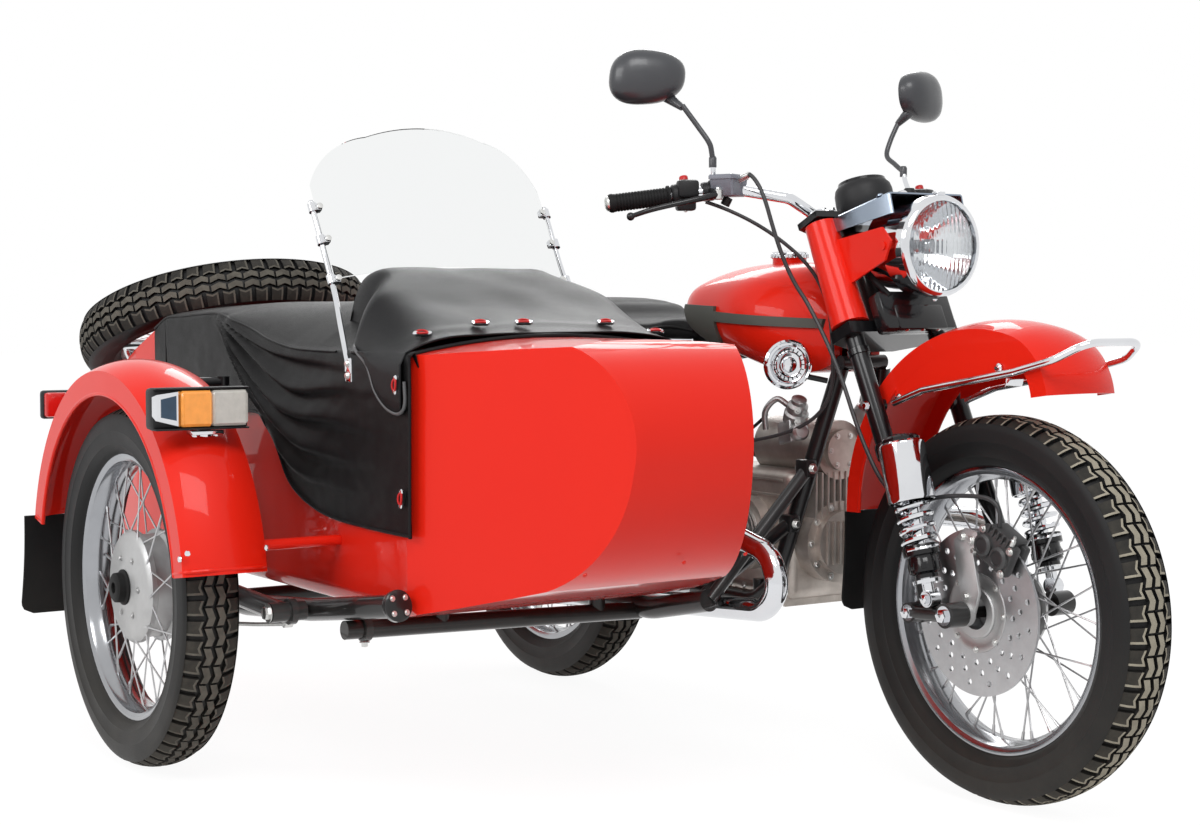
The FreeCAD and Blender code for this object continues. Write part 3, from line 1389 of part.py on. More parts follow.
hose_route = [(1020, -210, 1130), (1048, -206, 1116), (1080, -190, 1000), (1100, -170, 930),
              (1130, -150, 880), (1200, -140, 770), (1262, -138, 640), (1335, -138, 545),
              (1385, -112, 532), (1470, -104, 552), (1582, -86, 552), (1563.4, -84, 496)]
cable_route = [(952, -262, 1079), (1000, -205, 1055), (1072, -112, 970), (1104, -84, 890),
               (1118, -84, 800), (1112, -80, 700), (1050, -112, 640), (930, -190, 610),
               (800, -238, 600), (728, -243, 600), (728, -243, 562.6)]


node("brake_hose", shaped("brake_hose_shape", tube(hose_route, 4, 80)))
node("throttle_cable", shaped("throttle_cable_shape", tube(cable_route, 3.5, 80)))

# ---------------------------------------------------------------- datum, checks, files

doc.recompute()
low_x = low_y = 1e9
high_x = high_y = -1e9
for whole in nodes:
    box = whole.Shape.optimalBoundingBox(True, False)
    low_x, high_x = min(low_x, box.XMin), max(high_x, box.XMax)
    low_y, high_y = min(low_y, box.YMin), max(high_y, box.YMax)
datum = Vector(-round((low_x + high_x) / 2, 2), -round((low_y + high_y) / 2, 2), 0)
for whole in nodes:
    whole.Placement = Placement(datum, Rotation()).multiply(whole.Placement)
doc.recompute()
print("datum", datum.x, datum.y, "length", high_x - low_x, "width", high_y - low_y)

for obj in doc.Objects:
    if "Invalid" in obj.State or "Error" in obj.State:
        raise RuntimeError("%s did not build: %s" % (obj.Name, obj.State))
faulty = [whole.Label for whole in nodes
          if whole.Shape.isNull() or not whole.Shape.isValid() or not whole.Shape.Solids]
if faulty:
    raise RuntimeError("no valid solid in " + ", ".join(faulty))

os.makedirs("parts", exist_ok=True)
for whole in nodes:
    whole.Shape.exportStep(os.path.join("parts", whole.Label + ".step"))
    print("%-18s %2d solids %9.1f cm3" % (whole.Label, len(whole.Shape.Solids),
                                          whole.Shape.Volume / 1000))
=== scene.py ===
# %% [markdown]
# # A motorcycle with its sidecar
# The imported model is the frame: rims, tubes, body panels and the engine's main forms are there
# already, and each rides on a body that the physics model can move.  This lesson dresses them.
# It gives every surface a finish, and builds what plain solids can't show, such as tread
# blocks, spokes, springs, draped vinyl and the small parts of the controls.

# %% The frame
import math

import bpy
import bmesh
from mathutils import Matrix, Vector, noise


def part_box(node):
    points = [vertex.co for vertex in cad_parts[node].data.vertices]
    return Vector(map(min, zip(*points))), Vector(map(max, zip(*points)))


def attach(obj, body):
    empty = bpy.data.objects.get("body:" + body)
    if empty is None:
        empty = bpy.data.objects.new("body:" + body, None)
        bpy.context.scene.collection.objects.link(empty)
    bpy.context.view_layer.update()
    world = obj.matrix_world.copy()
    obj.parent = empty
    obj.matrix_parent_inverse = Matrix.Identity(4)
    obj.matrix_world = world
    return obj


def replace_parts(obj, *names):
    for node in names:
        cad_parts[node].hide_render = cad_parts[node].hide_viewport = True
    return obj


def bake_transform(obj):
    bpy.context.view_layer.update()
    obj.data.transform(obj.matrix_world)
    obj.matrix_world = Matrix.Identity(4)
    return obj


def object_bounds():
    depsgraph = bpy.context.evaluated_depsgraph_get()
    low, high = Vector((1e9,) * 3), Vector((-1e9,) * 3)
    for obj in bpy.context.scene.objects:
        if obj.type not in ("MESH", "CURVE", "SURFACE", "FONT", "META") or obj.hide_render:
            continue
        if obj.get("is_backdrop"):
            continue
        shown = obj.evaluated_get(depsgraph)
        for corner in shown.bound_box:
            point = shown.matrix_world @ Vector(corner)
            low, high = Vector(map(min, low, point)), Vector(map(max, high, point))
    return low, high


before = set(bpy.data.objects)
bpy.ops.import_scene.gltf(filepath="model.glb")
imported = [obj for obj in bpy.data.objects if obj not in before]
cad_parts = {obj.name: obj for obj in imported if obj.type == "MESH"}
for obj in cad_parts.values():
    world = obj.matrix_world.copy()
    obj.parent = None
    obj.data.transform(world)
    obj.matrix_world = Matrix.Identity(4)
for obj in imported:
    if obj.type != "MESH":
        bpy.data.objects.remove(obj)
cad_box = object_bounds()
scene = bpy.context.scene

# %% [markdown]
# ## One ruler for every piece
# A mechanic measures a bike from its rear wheel: so far ahead, to the left and above the ground.
# The frame's origin is under the middle of the whole vehicle, so `at` turns such a measure, in
# millimetres, into the frame's metres.  The rear tyre's own box says where that wheel stands.
# Things that come in pairs are made in a loop over two hands: -1 is the right one, 1 the left.

# %% Places
low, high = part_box("rear_tyre")
under_rear_axle = Vector(((low[0] + high[0]) / 2, (low[1] + high[1]) / 2, 0))
X, Y, Z = Vector((1, 0, 0)), Vector((0, 1, 0)), Vector((0, 0, 1))
HANDS = (-1, 1)
MM = 0.001


def mm(x, y, z):
    """A step ahead, to the left and up, given in mm."""
    return Vector((x, y, z)) * MM


def at(x, y, z):
    """A point ahead of the rear axle, left of the bike's plane and above the ground, in mm."""
    return under_rear_axle + mm(x, y, z)


def path(places, hand=1):
    """Places in mm as frame points; the right hand takes their mirror images."""
    return [at(x, y * hand, z) for x, y, z in places]


def middle_of(node):
    """The middle of a solid's box."""
    low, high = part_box(node)
    return (Vector(low) + Vector(high)) / 2


def placed(name, data):
    """A new object in the scene."""
    thing = bpy.data.objects.new(name, data)
    scene.collection.objects.link(thing)
    return thing


def point_along(thing, spot, way):
    """Stand a camera or a lamp at a spot and turn it to look along a way."""
    thing.location = spot
    thing.rotation_euler = way.to_track_quat("-Z", "Y").to_euler()


print("rear axle stands over", tuple(round(v, 3) for v in under_rear_axle))

# %% [markdown]
# ## Camera
# The camera stands ahead of the machine and to its right, level with the headlamp's lower edge,
# with a moderately long lens.  It looks along a direction given by a turn and a tilt.

# %% Camera
turn, tilt = math.radians(146.615), math.radians(-3.105)
looking = Vector((math.cos(turn) * math.cos(tilt), math.sin(turn) * math.cos(tilt), math.sin(tilt)))
camera = placed("Camera", bpy.data.cameras.new("Camera"))
point_along(camera, at(4139.2, -2603.6, 891.2), looking)
camera.data.lens = 61.92
scene.camera = camera
scene.view_settings.view_transform = "Standard"
print("camera at", tuple(round(v, 2) for v in camera.location))

# %% [markdown]
# ## Nodes in few words
# Materials, the world and the shared effects are all trees of nodes.  `feed` fills a node's
# inputs: a plain value is set, and another node's socket is wired in.  `node` makes a new node,
# sets its own properties and feeds it.

# %% Node helpers


def feed(tree, holder, inputs):
    """Set a node's inputs from plain values, or wire them to sockets."""
    for label, value in inputs.items():
        if isinstance(value, bpy.types.NodeSocket):
            tree.links.new(value, holder.inputs[label])
        else:
            holder.inputs[label].default_value = value


def node(tree, kind, inputs=None, **properties):
    """A new shader node."""
    made = tree.nodes.new("ShaderNode" + kind)
    for label, value in properties.items():
        setattr(made, label, value)
    feed(tree, made, inputs or {})
    return made


def product(tree, first, second):
    return node(tree, "Math", {0: first, 1: second}, operation="MULTIPLY").outputs[0]


def new_material(name):
    """A material, its tree and its main shader."""
    material = bpy.data.materials.new(name)
    material.use_nodes = True
    return material, material.node_tree, material.node_tree.nodes["Principled BSDF"]


# %% [markdown]
# ## Light and floor
# Studio light is soft: large lamps, few hard edges.  The floor and the world are white to the
# camera, to gloss and to glass, but they don't light the object more strongly for it.  That is
# what Light Path is for: it tells a ray that the camera sent from one that carries light.

# %% World, floor and lamps
half_floor, floor_glow, floor_white = 30, 1.09, 0.86
world_light, world_seen = 0.57, 1.0


def white_to_the_eye(tree):
    """A value of 1 for rays from the camera, from gloss or through glass."""
    rays = node(tree, "LightPath").outputs
    seen = rays["Is Camera Ray"]
    for kind in ("Is Transmission Ray", "Is Glossy Ray"):
        seen = node(tree, "Math", {0: seen, 1: rays[kind]}, operation="MAXIMUM").outputs[0]
    return seen


world = bpy.data.worlds.new("Studio")
scene.world = world
world.use_nodes = True
tree = world.node_tree
strength = node(tree, "MapRange", {"Value": white_to_the_eye(tree), "To Min": world_light,
                                   "To Max": world_seen})
feed(tree, tree.nodes["Background"],
     {"Color": (1, 1, 1, 1), "Strength": strength.outputs["Result"]})

floor_mesh = bpy.data.meshes.new("floor")
floor_mesh.from_pydata([(half_floor * x, half_floor * y, 0)
                        for x, y in ((-1, -1), (1, -1), (1, 1), (-1, 1))], [], [(0, 1, 2, 3)])
floor = placed("floor", floor_mesh)
floor.location.z = -0.002
floor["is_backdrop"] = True
floor_paint, tree, matt = new_material("floor_paint")
feed(tree, matt, {"Base Color": (0.8, 0.8, 0.8, 1), "Roughness": 0.9})
glow = node(tree, "Emission", {"Strength": floor_glow})
blend = node(tree, "MixShader", {"Fac": product(tree, white_to_the_eye(tree), floor_white),
                                 1: matt.outputs[0], 2: glow.outputs[0]})
feed(tree, tree.nodes["Material Output"], {"Surface": blend.outputs[0]})
floor_mesh.materials.append(floor_paint)
centre = (Vector(cad_box[0]) + Vector(cad_box[1])) / 2
# Each lamp looks back at the middle of the vehicle from its place
for name, away, width, height, watts in (("key", (3.2, -1.4, 3.4), 2.4, 1.6, 98),
                                         ("side", (0.6, -4.2, 2.2), 3.0, 1.2, 70),
                                         ("back", (-3.4, 2.6, 3.0), 3.0, 1.6, 80)):
    light = bpy.data.lights.new(name, "AREA")
    light.shape = "RECTANGLE"
    light.size, light.size_y, light.energy = width, height, watts
    point_along(placed(name, light), centre + Vector(away), -Vector(away))
print("three soft lamps, and a floor", 2 * half_floor, "m wide")

# %% [markdown]
# ## Shared effects as node groups
# Several finishes need the same small things: colour that isn't quite even, a fine bump, wear on
# edges, dust low down.  Each is built once as a shader node group with named inputs, and placed
# in a material with that material's own values.

# %% Helpers for node groups
WHITE, BLACK = (1, 1, 1, 1), (0, 0, 0, 1)


def new_group(name, inputs, outputs):
    """A node group's tree, the sockets that it is given, and the node that takes its results."""
    tree = bpy.data.node_groups.new(name, "ShaderNodeTree")
    sockets = [(label, "INPUT", value) for label, value in inputs.items()]
    for label, side, value in sockets + [(label, "OUTPUT", None) for label in outputs]:
        colour = isinstance(value, tuple) or label == "Color"
        socket = tree.interface.new_socket(
            label, in_out=side, socket_type="NodeSocketColor" if colour else "NodeSocketFloat")
        if value is not None:
            socket.default_value = value
    return tree, tree.nodes.new("NodeGroupInput").outputs, tree.nodes.new("NodeGroupOutput")


def noise_over(tree, scale, detail):
    """Noise over the object's own coordinates; scale is a number or a socket."""
    place = node(tree, "TexCoord").outputs["Object"]
    return node(tree, "TexNoise", {"Vector": place, "Scale": scale, "Detail": detail,
                                   "Roughness": 0.6}).outputs["Fac"]


def mixed(tree, amount, first, second):
    """The socket of a mix of two colours."""
    return node(tree, "Mix", {"Factor": amount, "A": first, "B": second},
                data_type="RGBA").outputs["Result"]


# %% Uneven colour
mottle, given, result = new_group(
    "uneven_colour", {"Color": WHITE, "Other": BLACK, "Scale": 8.0, "Amount": 0.5},
    ("Color", "Value"))
grain = noise_over(mottle, given["Scale"], 5.0)
spread = node(mottle, "MapRange", {"Value": grain, "From Min": 0.35, "From Max": 0.7,
                                   "To Max": given["Amount"]}).outputs["Result"]
feed(mottle, result, {"Color": mixed(mottle, spread, given["Color"], given["Other"]),
                      "Value": grain})

# %% Fine bump
fine_bump, given, result = new_group("fine_bump", {"Scale": 400.0, "Height": 0.5}, ("Height",))
grain = noise_over(fine_bump, given["Scale"], 2.0)
feed(fine_bump, result, {"Height": product(fine_bump, grain, given["Height"])})

# %% Hide grain: small cells with soft valleys, for vinyl and leather
hide_grain, given, result = new_group("hide_grain", {"Scale": 500.0, "Height": 1.0}, ("Height",))
place = node(hide_grain, "TexCoord").outputs["Object"]
cells = node(hide_grain, "TexVoronoi", {"Vector": place, "Scale": given["Scale"]},
             feature="DISTANCE_TO_EDGE")
valley = node(hide_grain, "MapRange", {"Value": cells.outputs["Distance"], "From Max": 0.25,
                                       "To Max": given["Height"]},
              interpolation_type="SMOOTHSTEP")
feed(hide_grain, result, {"Height": valley.outputs["Result"]})

# %% Edge wear: sharp convex edges lose their colour first
edge_wear, given, result = new_group(
    "edge_wear", {"Color": BLACK, "Bare": WHITE, "Amount": 0.5}, ("Color", "Mask"))
sharpness = node(edge_wear, "NewGeometry").outputs["Pointiness"]
edge = node(edge_wear, "MapRange", {"Value": sharpness, "From Min": 0.53, "From Max": 0.66,
                                    "To Max": given["Amount"]}).outputs["Result"]
feed(edge_wear, result, {"Color": mixed(edge_wear, edge, given["Color"], given["Bare"]),
                         "Mask": edge})

# %% Road dust: a pale film that fades out with height above the ground
road_dust, given, result = new_group(
    "road_dust", {"Color": BLACK, "Dust": (0.3, 0.26, 0.2, 1), "Top": 0.4, "Amount": 0.2},
    ("Color", "Mask"))
place = node(road_dust, "NewGeometry").outputs["Position"]
above_ground = node(road_dust, "SeparateXYZ", {"Vector": place}).outputs["Z"]
fade = node(road_dust, "MapRange", {"Value": above_ground, "From Max": given["Top"],
                                    "To Min": 1.0, "To Max": 0.0}).outputs["Result"]
film = product(road_dust, fade, noise_over(road_dust, 14.0, 6.0))
film = product(road_dust, film, given["Amount"])
feed(road_dust, result, {"Color": mixed(road_dust, film, given["Color"], given["Dust"]),
                         "Mask": film})
print("node groups:", ", ".join(tree.name for tree in bpy.data.node_groups))

# %% [markdown]
# ## Finishes
# A finish is a material together with the record's slot that it stands for.  `finish` makes the
# Principled BSDF with its plain values, then adds whichever effects are asked for: an uneven
# colour, a bump, worn edges or dust.

# %% The finish maker
finishes = {}
LACQUER = {"Coat Roughness": 0.04, "Coat IOR": 1.25}


def opaque(colour):
    return (*colour, 1.0)


def finish(name, slot, colour, roughness, other, metallic=0.0, coat=0.0, mottle_scale=6.0,
           mottle_amount=0.5, bump=None, grain=None, worn=None, dust=0.0, depth=0.0004,
           shine=0.4):
    """A named material: plain values on the shader, and effects from the node groups."""
    material, tree, shader = new_material(name)

    def effect(group, wanted, **values):
        return node(tree, "Group", values, node_tree=group).outputs[wanted]

    feed(tree, shader, {"Base Color": opaque(colour), "Roughness": roughness,
                        "Metallic": metallic, "Coat Weight": coat, **LACQUER,
                        "Specular IOR Level": shine})
    shown = node(tree, "Group", {"Color": opaque(colour), "Other": opaque(other),
                                 "Scale": mottle_scale, "Amount": mottle_amount},
                 node_tree=mottle).outputs
    even = node(tree, "MapRange", {"Value": shown["Value"], "To Min": roughness * 0.8,
                                   "To Max": min(1.0, roughness * 1.25 + 0.01)})
    surface = shown["Color"]
    if worn:
        surface = effect(edge_wear, "Color", Color=surface, Bare=opaque(worn[0]), Amount=worn[1])
    if dust:
        surface = effect(road_dust, "Color", Color=surface, Amount=dust)
    feed(tree, shader, {"Base Color": surface, "Roughness": even.outputs["Result"]})
    if bump or grain:
        height = effect(fine_bump if bump else hide_grain, "Height", Scale=bump or grain,
                        Height=1.0)
        relief = node(tree, "Bump", {"Height": height, "Distance": depth, "Strength": 0.6})
        feed(tree, shader, {"Normal": relief.outputs["Normal"]})
    finishes[name] = (material, slot)
    return tree, shader


# %% [markdown]
# ### Paint and metal
# The red is a solid colour under clear lacquer, so the colour itself is fairly rough and the coat
# carries the shine.  Chrome and polished alloy are nearly smooth metals; cast alloy is rougher,
# blotchy and grainy.  The frame's black enamel is glossy too.  The top plate is chrome with a
# blue-grey colour, which is a painted reflection.

# %% Paint and metal
finish("red_lacquer", "red_paint", (0.74, 0.016, 0.0045), 0.42, coat=0.75, shine=0.12,
       other=(0.72, 0.012, 0.005), mottle_scale=2.5, bump=260, depth=0.00003)
finish("black_enamel", "black_paint", (0.004, 0.004, 0.005), 0.3, coat=0.9, shine=0.2,
       other=(0.012, 0.012, 0.013), worn=((0.10, 0.10, 0.10), 0.35), dust=0.3)
finish("caliper_black", "black_paint", (0.016, 0.016, 0.017), 0.42, other=(0.03, 0.03, 0.031),
       mottle_scale=30, bump=700, shine=0.5, worn=((0.2, 0.2, 0.2), 0.4))
finish("bright_chrome", "chrome", (0.72, 0.73, 0.75), 0.06, metallic=1.0,
       other=(0.62, 0.63, 0.66), mottle_scale=12)
# The blue grey in this chrome's colour is a painted reflection
finish("chrome_painted_blue_reflection", "chrome", (0.30, 0.35, 0.42), 0.24, metallic=1.0, other=(0.24, 0.28, 0.34),
       mottle_scale=9)
finish("polished_rim", "polished_alloy", (0.37, 0.38, 0.40), 0.17, metallic=1.0,
       other=(0.30, 0.31, 0.33), mottle_scale=16, dust=0.25)
finish("cast_alloy", "cast_alloy", (0.60, 0.60, 0.59), 0.38, metallic=0.9,
       other=(0.30, 0.29, 0.28), mottle_scale=22, mottle_amount=0.7, bump=900,
       worn=((0.62, 0.62, 0.62), 0.6), dust=0.5)
finish("dull_casting", "cast_alloy", (0.60, 0.545, 0.50), 0.42, metallic=0.7,
       other=(0.36, 0.32, 0.29), mottle_scale=18, mottle_amount=0.8, bump=700,
       worn=((0.42, 0.42, 0.40), 0.6), dust=0.6)
finish("hub_casting", "cast_alloy", (0.52, 0.52, 0.52), 0.38, metallic=0.85,
       other=(0.42, 0.42, 0.42), mottle_scale=30, bump=1200, dust=0.3)
finish("drawn_steel", "steel", (0.56, 0.56, 0.57), 0.3, metallic=1.0,
       other=(0.42, 0.42, 0.43), mottle_scale=40, dust=0.2)
finish("bolt_zinc", "steel", (0.62, 0.62, 0.60), 0.32, metallic=1.0,
       other=(0.45, 0.45, 0.43), mottle_scale=90, worn=((0.8, 0.8, 0.8), 0.5))

# %% [markdown]
# ### Rubber, vinyl and plastic
# Black things are told apart by how they shine.  Tyre rubber is matt and a little brown with
# dust, and the edges of its blocks are rubbed pale, most of all at the front.  Vinyl has a soft
# broad shine over a fine grain, and moulded plastic has an even satin.

# %% Rubber, vinyl and plastic
finish("tyre_wall", "tyre_rubber", (0.007, 0.007, 0.0075), 0.5, other=(0.014, 0.0135, 0.013),
       mottle_scale=9, bump=500, dust=0.12, shine=0.25)
finish("tread_top", "tyre_rubber", (0.022, 0.021, 0.019), 0.75, other=(0.055, 0.05, 0.042),
       mottle_scale=38, mottle_amount=0.8, bump=900, dust=0.2, shine=0.2)
finish("tread_edge", "tyre_rubber", (0.36, 0.33, 0.26), 0.8, other=(0.26, 0.235, 0.185),
       mottle_scale=38, mottle_amount=0.8, shine=0.2)
finish("tread_worn", "tyre_rubber", (0.13, 0.12, 0.10), 0.8, other=(0.07, 0.064, 0.055),
       mottle_scale=38, mottle_amount=0.8, shine=0.2)
finish("black_rubber", "black_rubber", (0.006, 0.006, 0.0065), 0.6, other=(0.012, 0.012, 0.012),
       mottle_scale=14, bump=800, dust=0.12, shine=0.2)
finish("knee_rubber", "black_rubber", (0.075, 0.077, 0.066), 0.55, other=(0.09, 0.092, 0.08),
       mottle_scale=14, bump=800, shine=0.3)
finish("cable_grey", "black_rubber", (0.035, 0.035, 0.037), 0.4, other=(0.02, 0.02, 0.022))
finish("draped_vinyl", "black_vinyl", (0.005, 0.005, 0.0055), 0.34, other=(0.009, 0.0085, 0.0085),
       mottle_scale=5, grain=620, depth=0.0002, shine=0.12)
finish("cowl_vinyl", "black_vinyl", (0.006, 0.006, 0.007), 0.34, other=(0.010, 0.0095, 0.0095),
       mottle_scale=7, grain=620, depth=0.0002, shine=0.15)
finish("piping_grey", "black_vinyl", (0.10, 0.10, 0.105), 0.4, other=(0.06, 0.06, 0.06))
finish("seat_hide", "seat_leather", (0.007, 0.007, 0.0075), 0.46, other=(0.012, 0.0115, 0.0115),
       mottle_scale=9, grain=540, depth=0.0003, shine=0.12)
finish("matt_plastic", "black_plastic", (0.008, 0.008, 0.009), 0.45, other=(0.014, 0.014, 0.015),
       mottle_scale=20, bump=1000, shine=0.3)
finish("grey_plastic", "black_plastic", (0.19, 0.20, 0.235), 0.42, other=(0.15, 0.16, 0.19),
       mottle_scale=20, bump=800)
finish("shiny_plastic", "gloss_plastic", (0.006, 0.006, 0.007), 0.16, coat=0.6,
       other=(0.011, 0.011, 0.012), shine=0.3)
finish("mirror_shell", "gloss_plastic", (0.035, 0.037, 0.042), 0.34, coat=0.4,
       other=(0.05, 0.052, 0.058), shine=0.5)
finish("clip_red", "red_lens", (0.55, 0.012, 0.012), 0.35, other=(0.4, 0.008, 0.008))

# %% [markdown]
# ### Lenses, glass and mirrors
# A coloured lens is a plastic that lets some light through; a little emission stands for the
# light that its reflector sends back.  The windscreen and the headlamp's glass are clear, and
# the face of a mirror is a smooth metal.

# %% Lenses, glass and mirrors
for name, slot, colour, glow in (("amber_lens", "amber_lens", (0.86, 0.33, 0.06), 0.14),
                                 ("red_lens", "red_lens", (0.55, 0.01, 0.008), 0.12),
                                 ("clear_lens", "clear_glass", (0.52, 0.50, 0.46), 0.06),
                                 ("blue_reflex", "amber_lens", (0.02, 0.05, 0.09), 0.02)):
    tree, shader = finish(name, slot, colour, 0.12, coat=0.6,
                          other=tuple(v * 0.7 for v in colour), mottle_scale=60)
    feed(tree, shader, {"Emission Color": opaque(colour), "Emission Strength": glow})
for name, slot, colour, extras in (
        ("screen_pane", "clear_glass", (0.90, 0.91, 0.91),
         {"Roughness": 0.015, "IOR": 1.12, "Transmission Weight": 1.0}),
        ("lamp_glass", "clear_glass", (0.97, 0.98, 0.98),
         {"Roughness": 0.01, "IOR": 1.3, "Transmission Weight": 1.0}),
        ("mirror_glass", "gloss_plastic", (0.82, 0.84, 0.86),
         {"Roughness": 0.02, "Metallic": 1.0})):
    material, tree, shader = new_material(name)
    feed(tree, shader, {"Base Color": opaque(colour), **extras})
    finishes[name] = (material, slot)
print(len(finishes), "finishes")

# %% [markdown]
# ### The carried-over solids
# Each solid from the frame keeps its shape and gets a finish by name.

# %% Dress the solids
dressed = {
    "red_lacquer": "fork_shrouds front_fender fuel_tank rear_fender tub sidecar_fender trunk_lid",
    "black_enamel": "fork front_links main_frame swingarm centre_stand sidecar_frame sidecar_arm "
                    "spare_carrier plate_bracket",
    "bright_chrome": "headlamp handlebar fender_rail front_shocks rear_shocks exhaust horn "
                     "windscreen_posts",
    "drawn_steel": "brake_disc foot_controls",
    "dull_casting": "engine_case caliper",
    "cast_alloy": "cylinders",
    "knee_rubber": "knee_pads",
    "black_rubber": "grips front_flap fender_flap brake_hose throttle_cable",
    "matt_plastic": "hand_controls instrument intake side_boxes",
    "shiny_plastic": "mirrors",
    "seat_hide": "saddle",
    "red_lens": "tail_lamp",
    "screen_pane": "windscreen",
    "lamp_glass": "headlamp_lens",
    "cowl_vinyl": "apron",
    "draped_vinyl": "tonneau",
}
for name, labels in dressed.items():
    for label in labels.split():
        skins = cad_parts[label].data.materials
        if not skins:
            skins.append(None)
        for index in range(len(skins)):
            skins[index] = finishes[name][0]
print(sum(len(labels.split()) for labels in dressed.values()), "solids dressed")

# %% [markdown]
# ## A box of building blocks
# Most hardware is made of a few kinds of form: something turned on a lathe, a bent tube, a box
# with broken edges, a bolt.  `Form` gathers such shapes into one mesh, each with its own skin,
# so a whole group of details is one object that rides on one body.

# %% Ways, curves and grids


def across(way):
    """Two unit vectors at right angles to a direction."""
    way = way.normalized()
    side = way.cross(Z if abs(way.z) < 0.9 else X).normalized()
    return side, way.cross(side)


def around(axis, count, first=0.0):
    """Unit vectors out from an axis, evenly round it."""
    side, up = across(axis)
    turns = [first + 2 * math.pi * i / count for i in range(count)]
    return [side * math.cos(turn) + up * math.sin(turn) for turn in turns]


def smooth_path(points, per=6):
    """Points along a soft curve through the given points."""
    points = [Vector(p) for p in points]
    if len(points) == 2:
        return points
    ends = [points[0] * 2 - points[1]] + points + [points[-1] * 2 - points[-2]]
    line = []
    for a, b, c, d in zip(ends, ends[1:], ends[2:], ends[3:]):
        for i in range(per):
            t = i / per
            line.append(0.5 * ((2 * b) + (c - a) * t + (2 * a - 5 * b + 4 * c - d) * t * t
                               + (3 * b - a - 3 * c + d) * t ** 3))
    return line + [points[-1]]


def step(low, high, value):
    """0 at low, 1 at high, soft between."""
    t = min(1, max(0, (value - low) / (high - low)))
    return t * t * (3 - 2 * t)


def grid(rows, count, start=0, around_rows=False, around_ring=False):
    """Faces over rows of points, count to a row; each way may close on itself."""
    faces = []
    for i in range(rows - (not around_rows)):
        for j in range(count - (not around_ring)):
            here, after, k = i * count, (i + 1) % rows * count, (j + 1) % count
            faces.append((start + here + j, start + after + j, start + after + k,
                          start + here + k))
    return faces


# %% Form


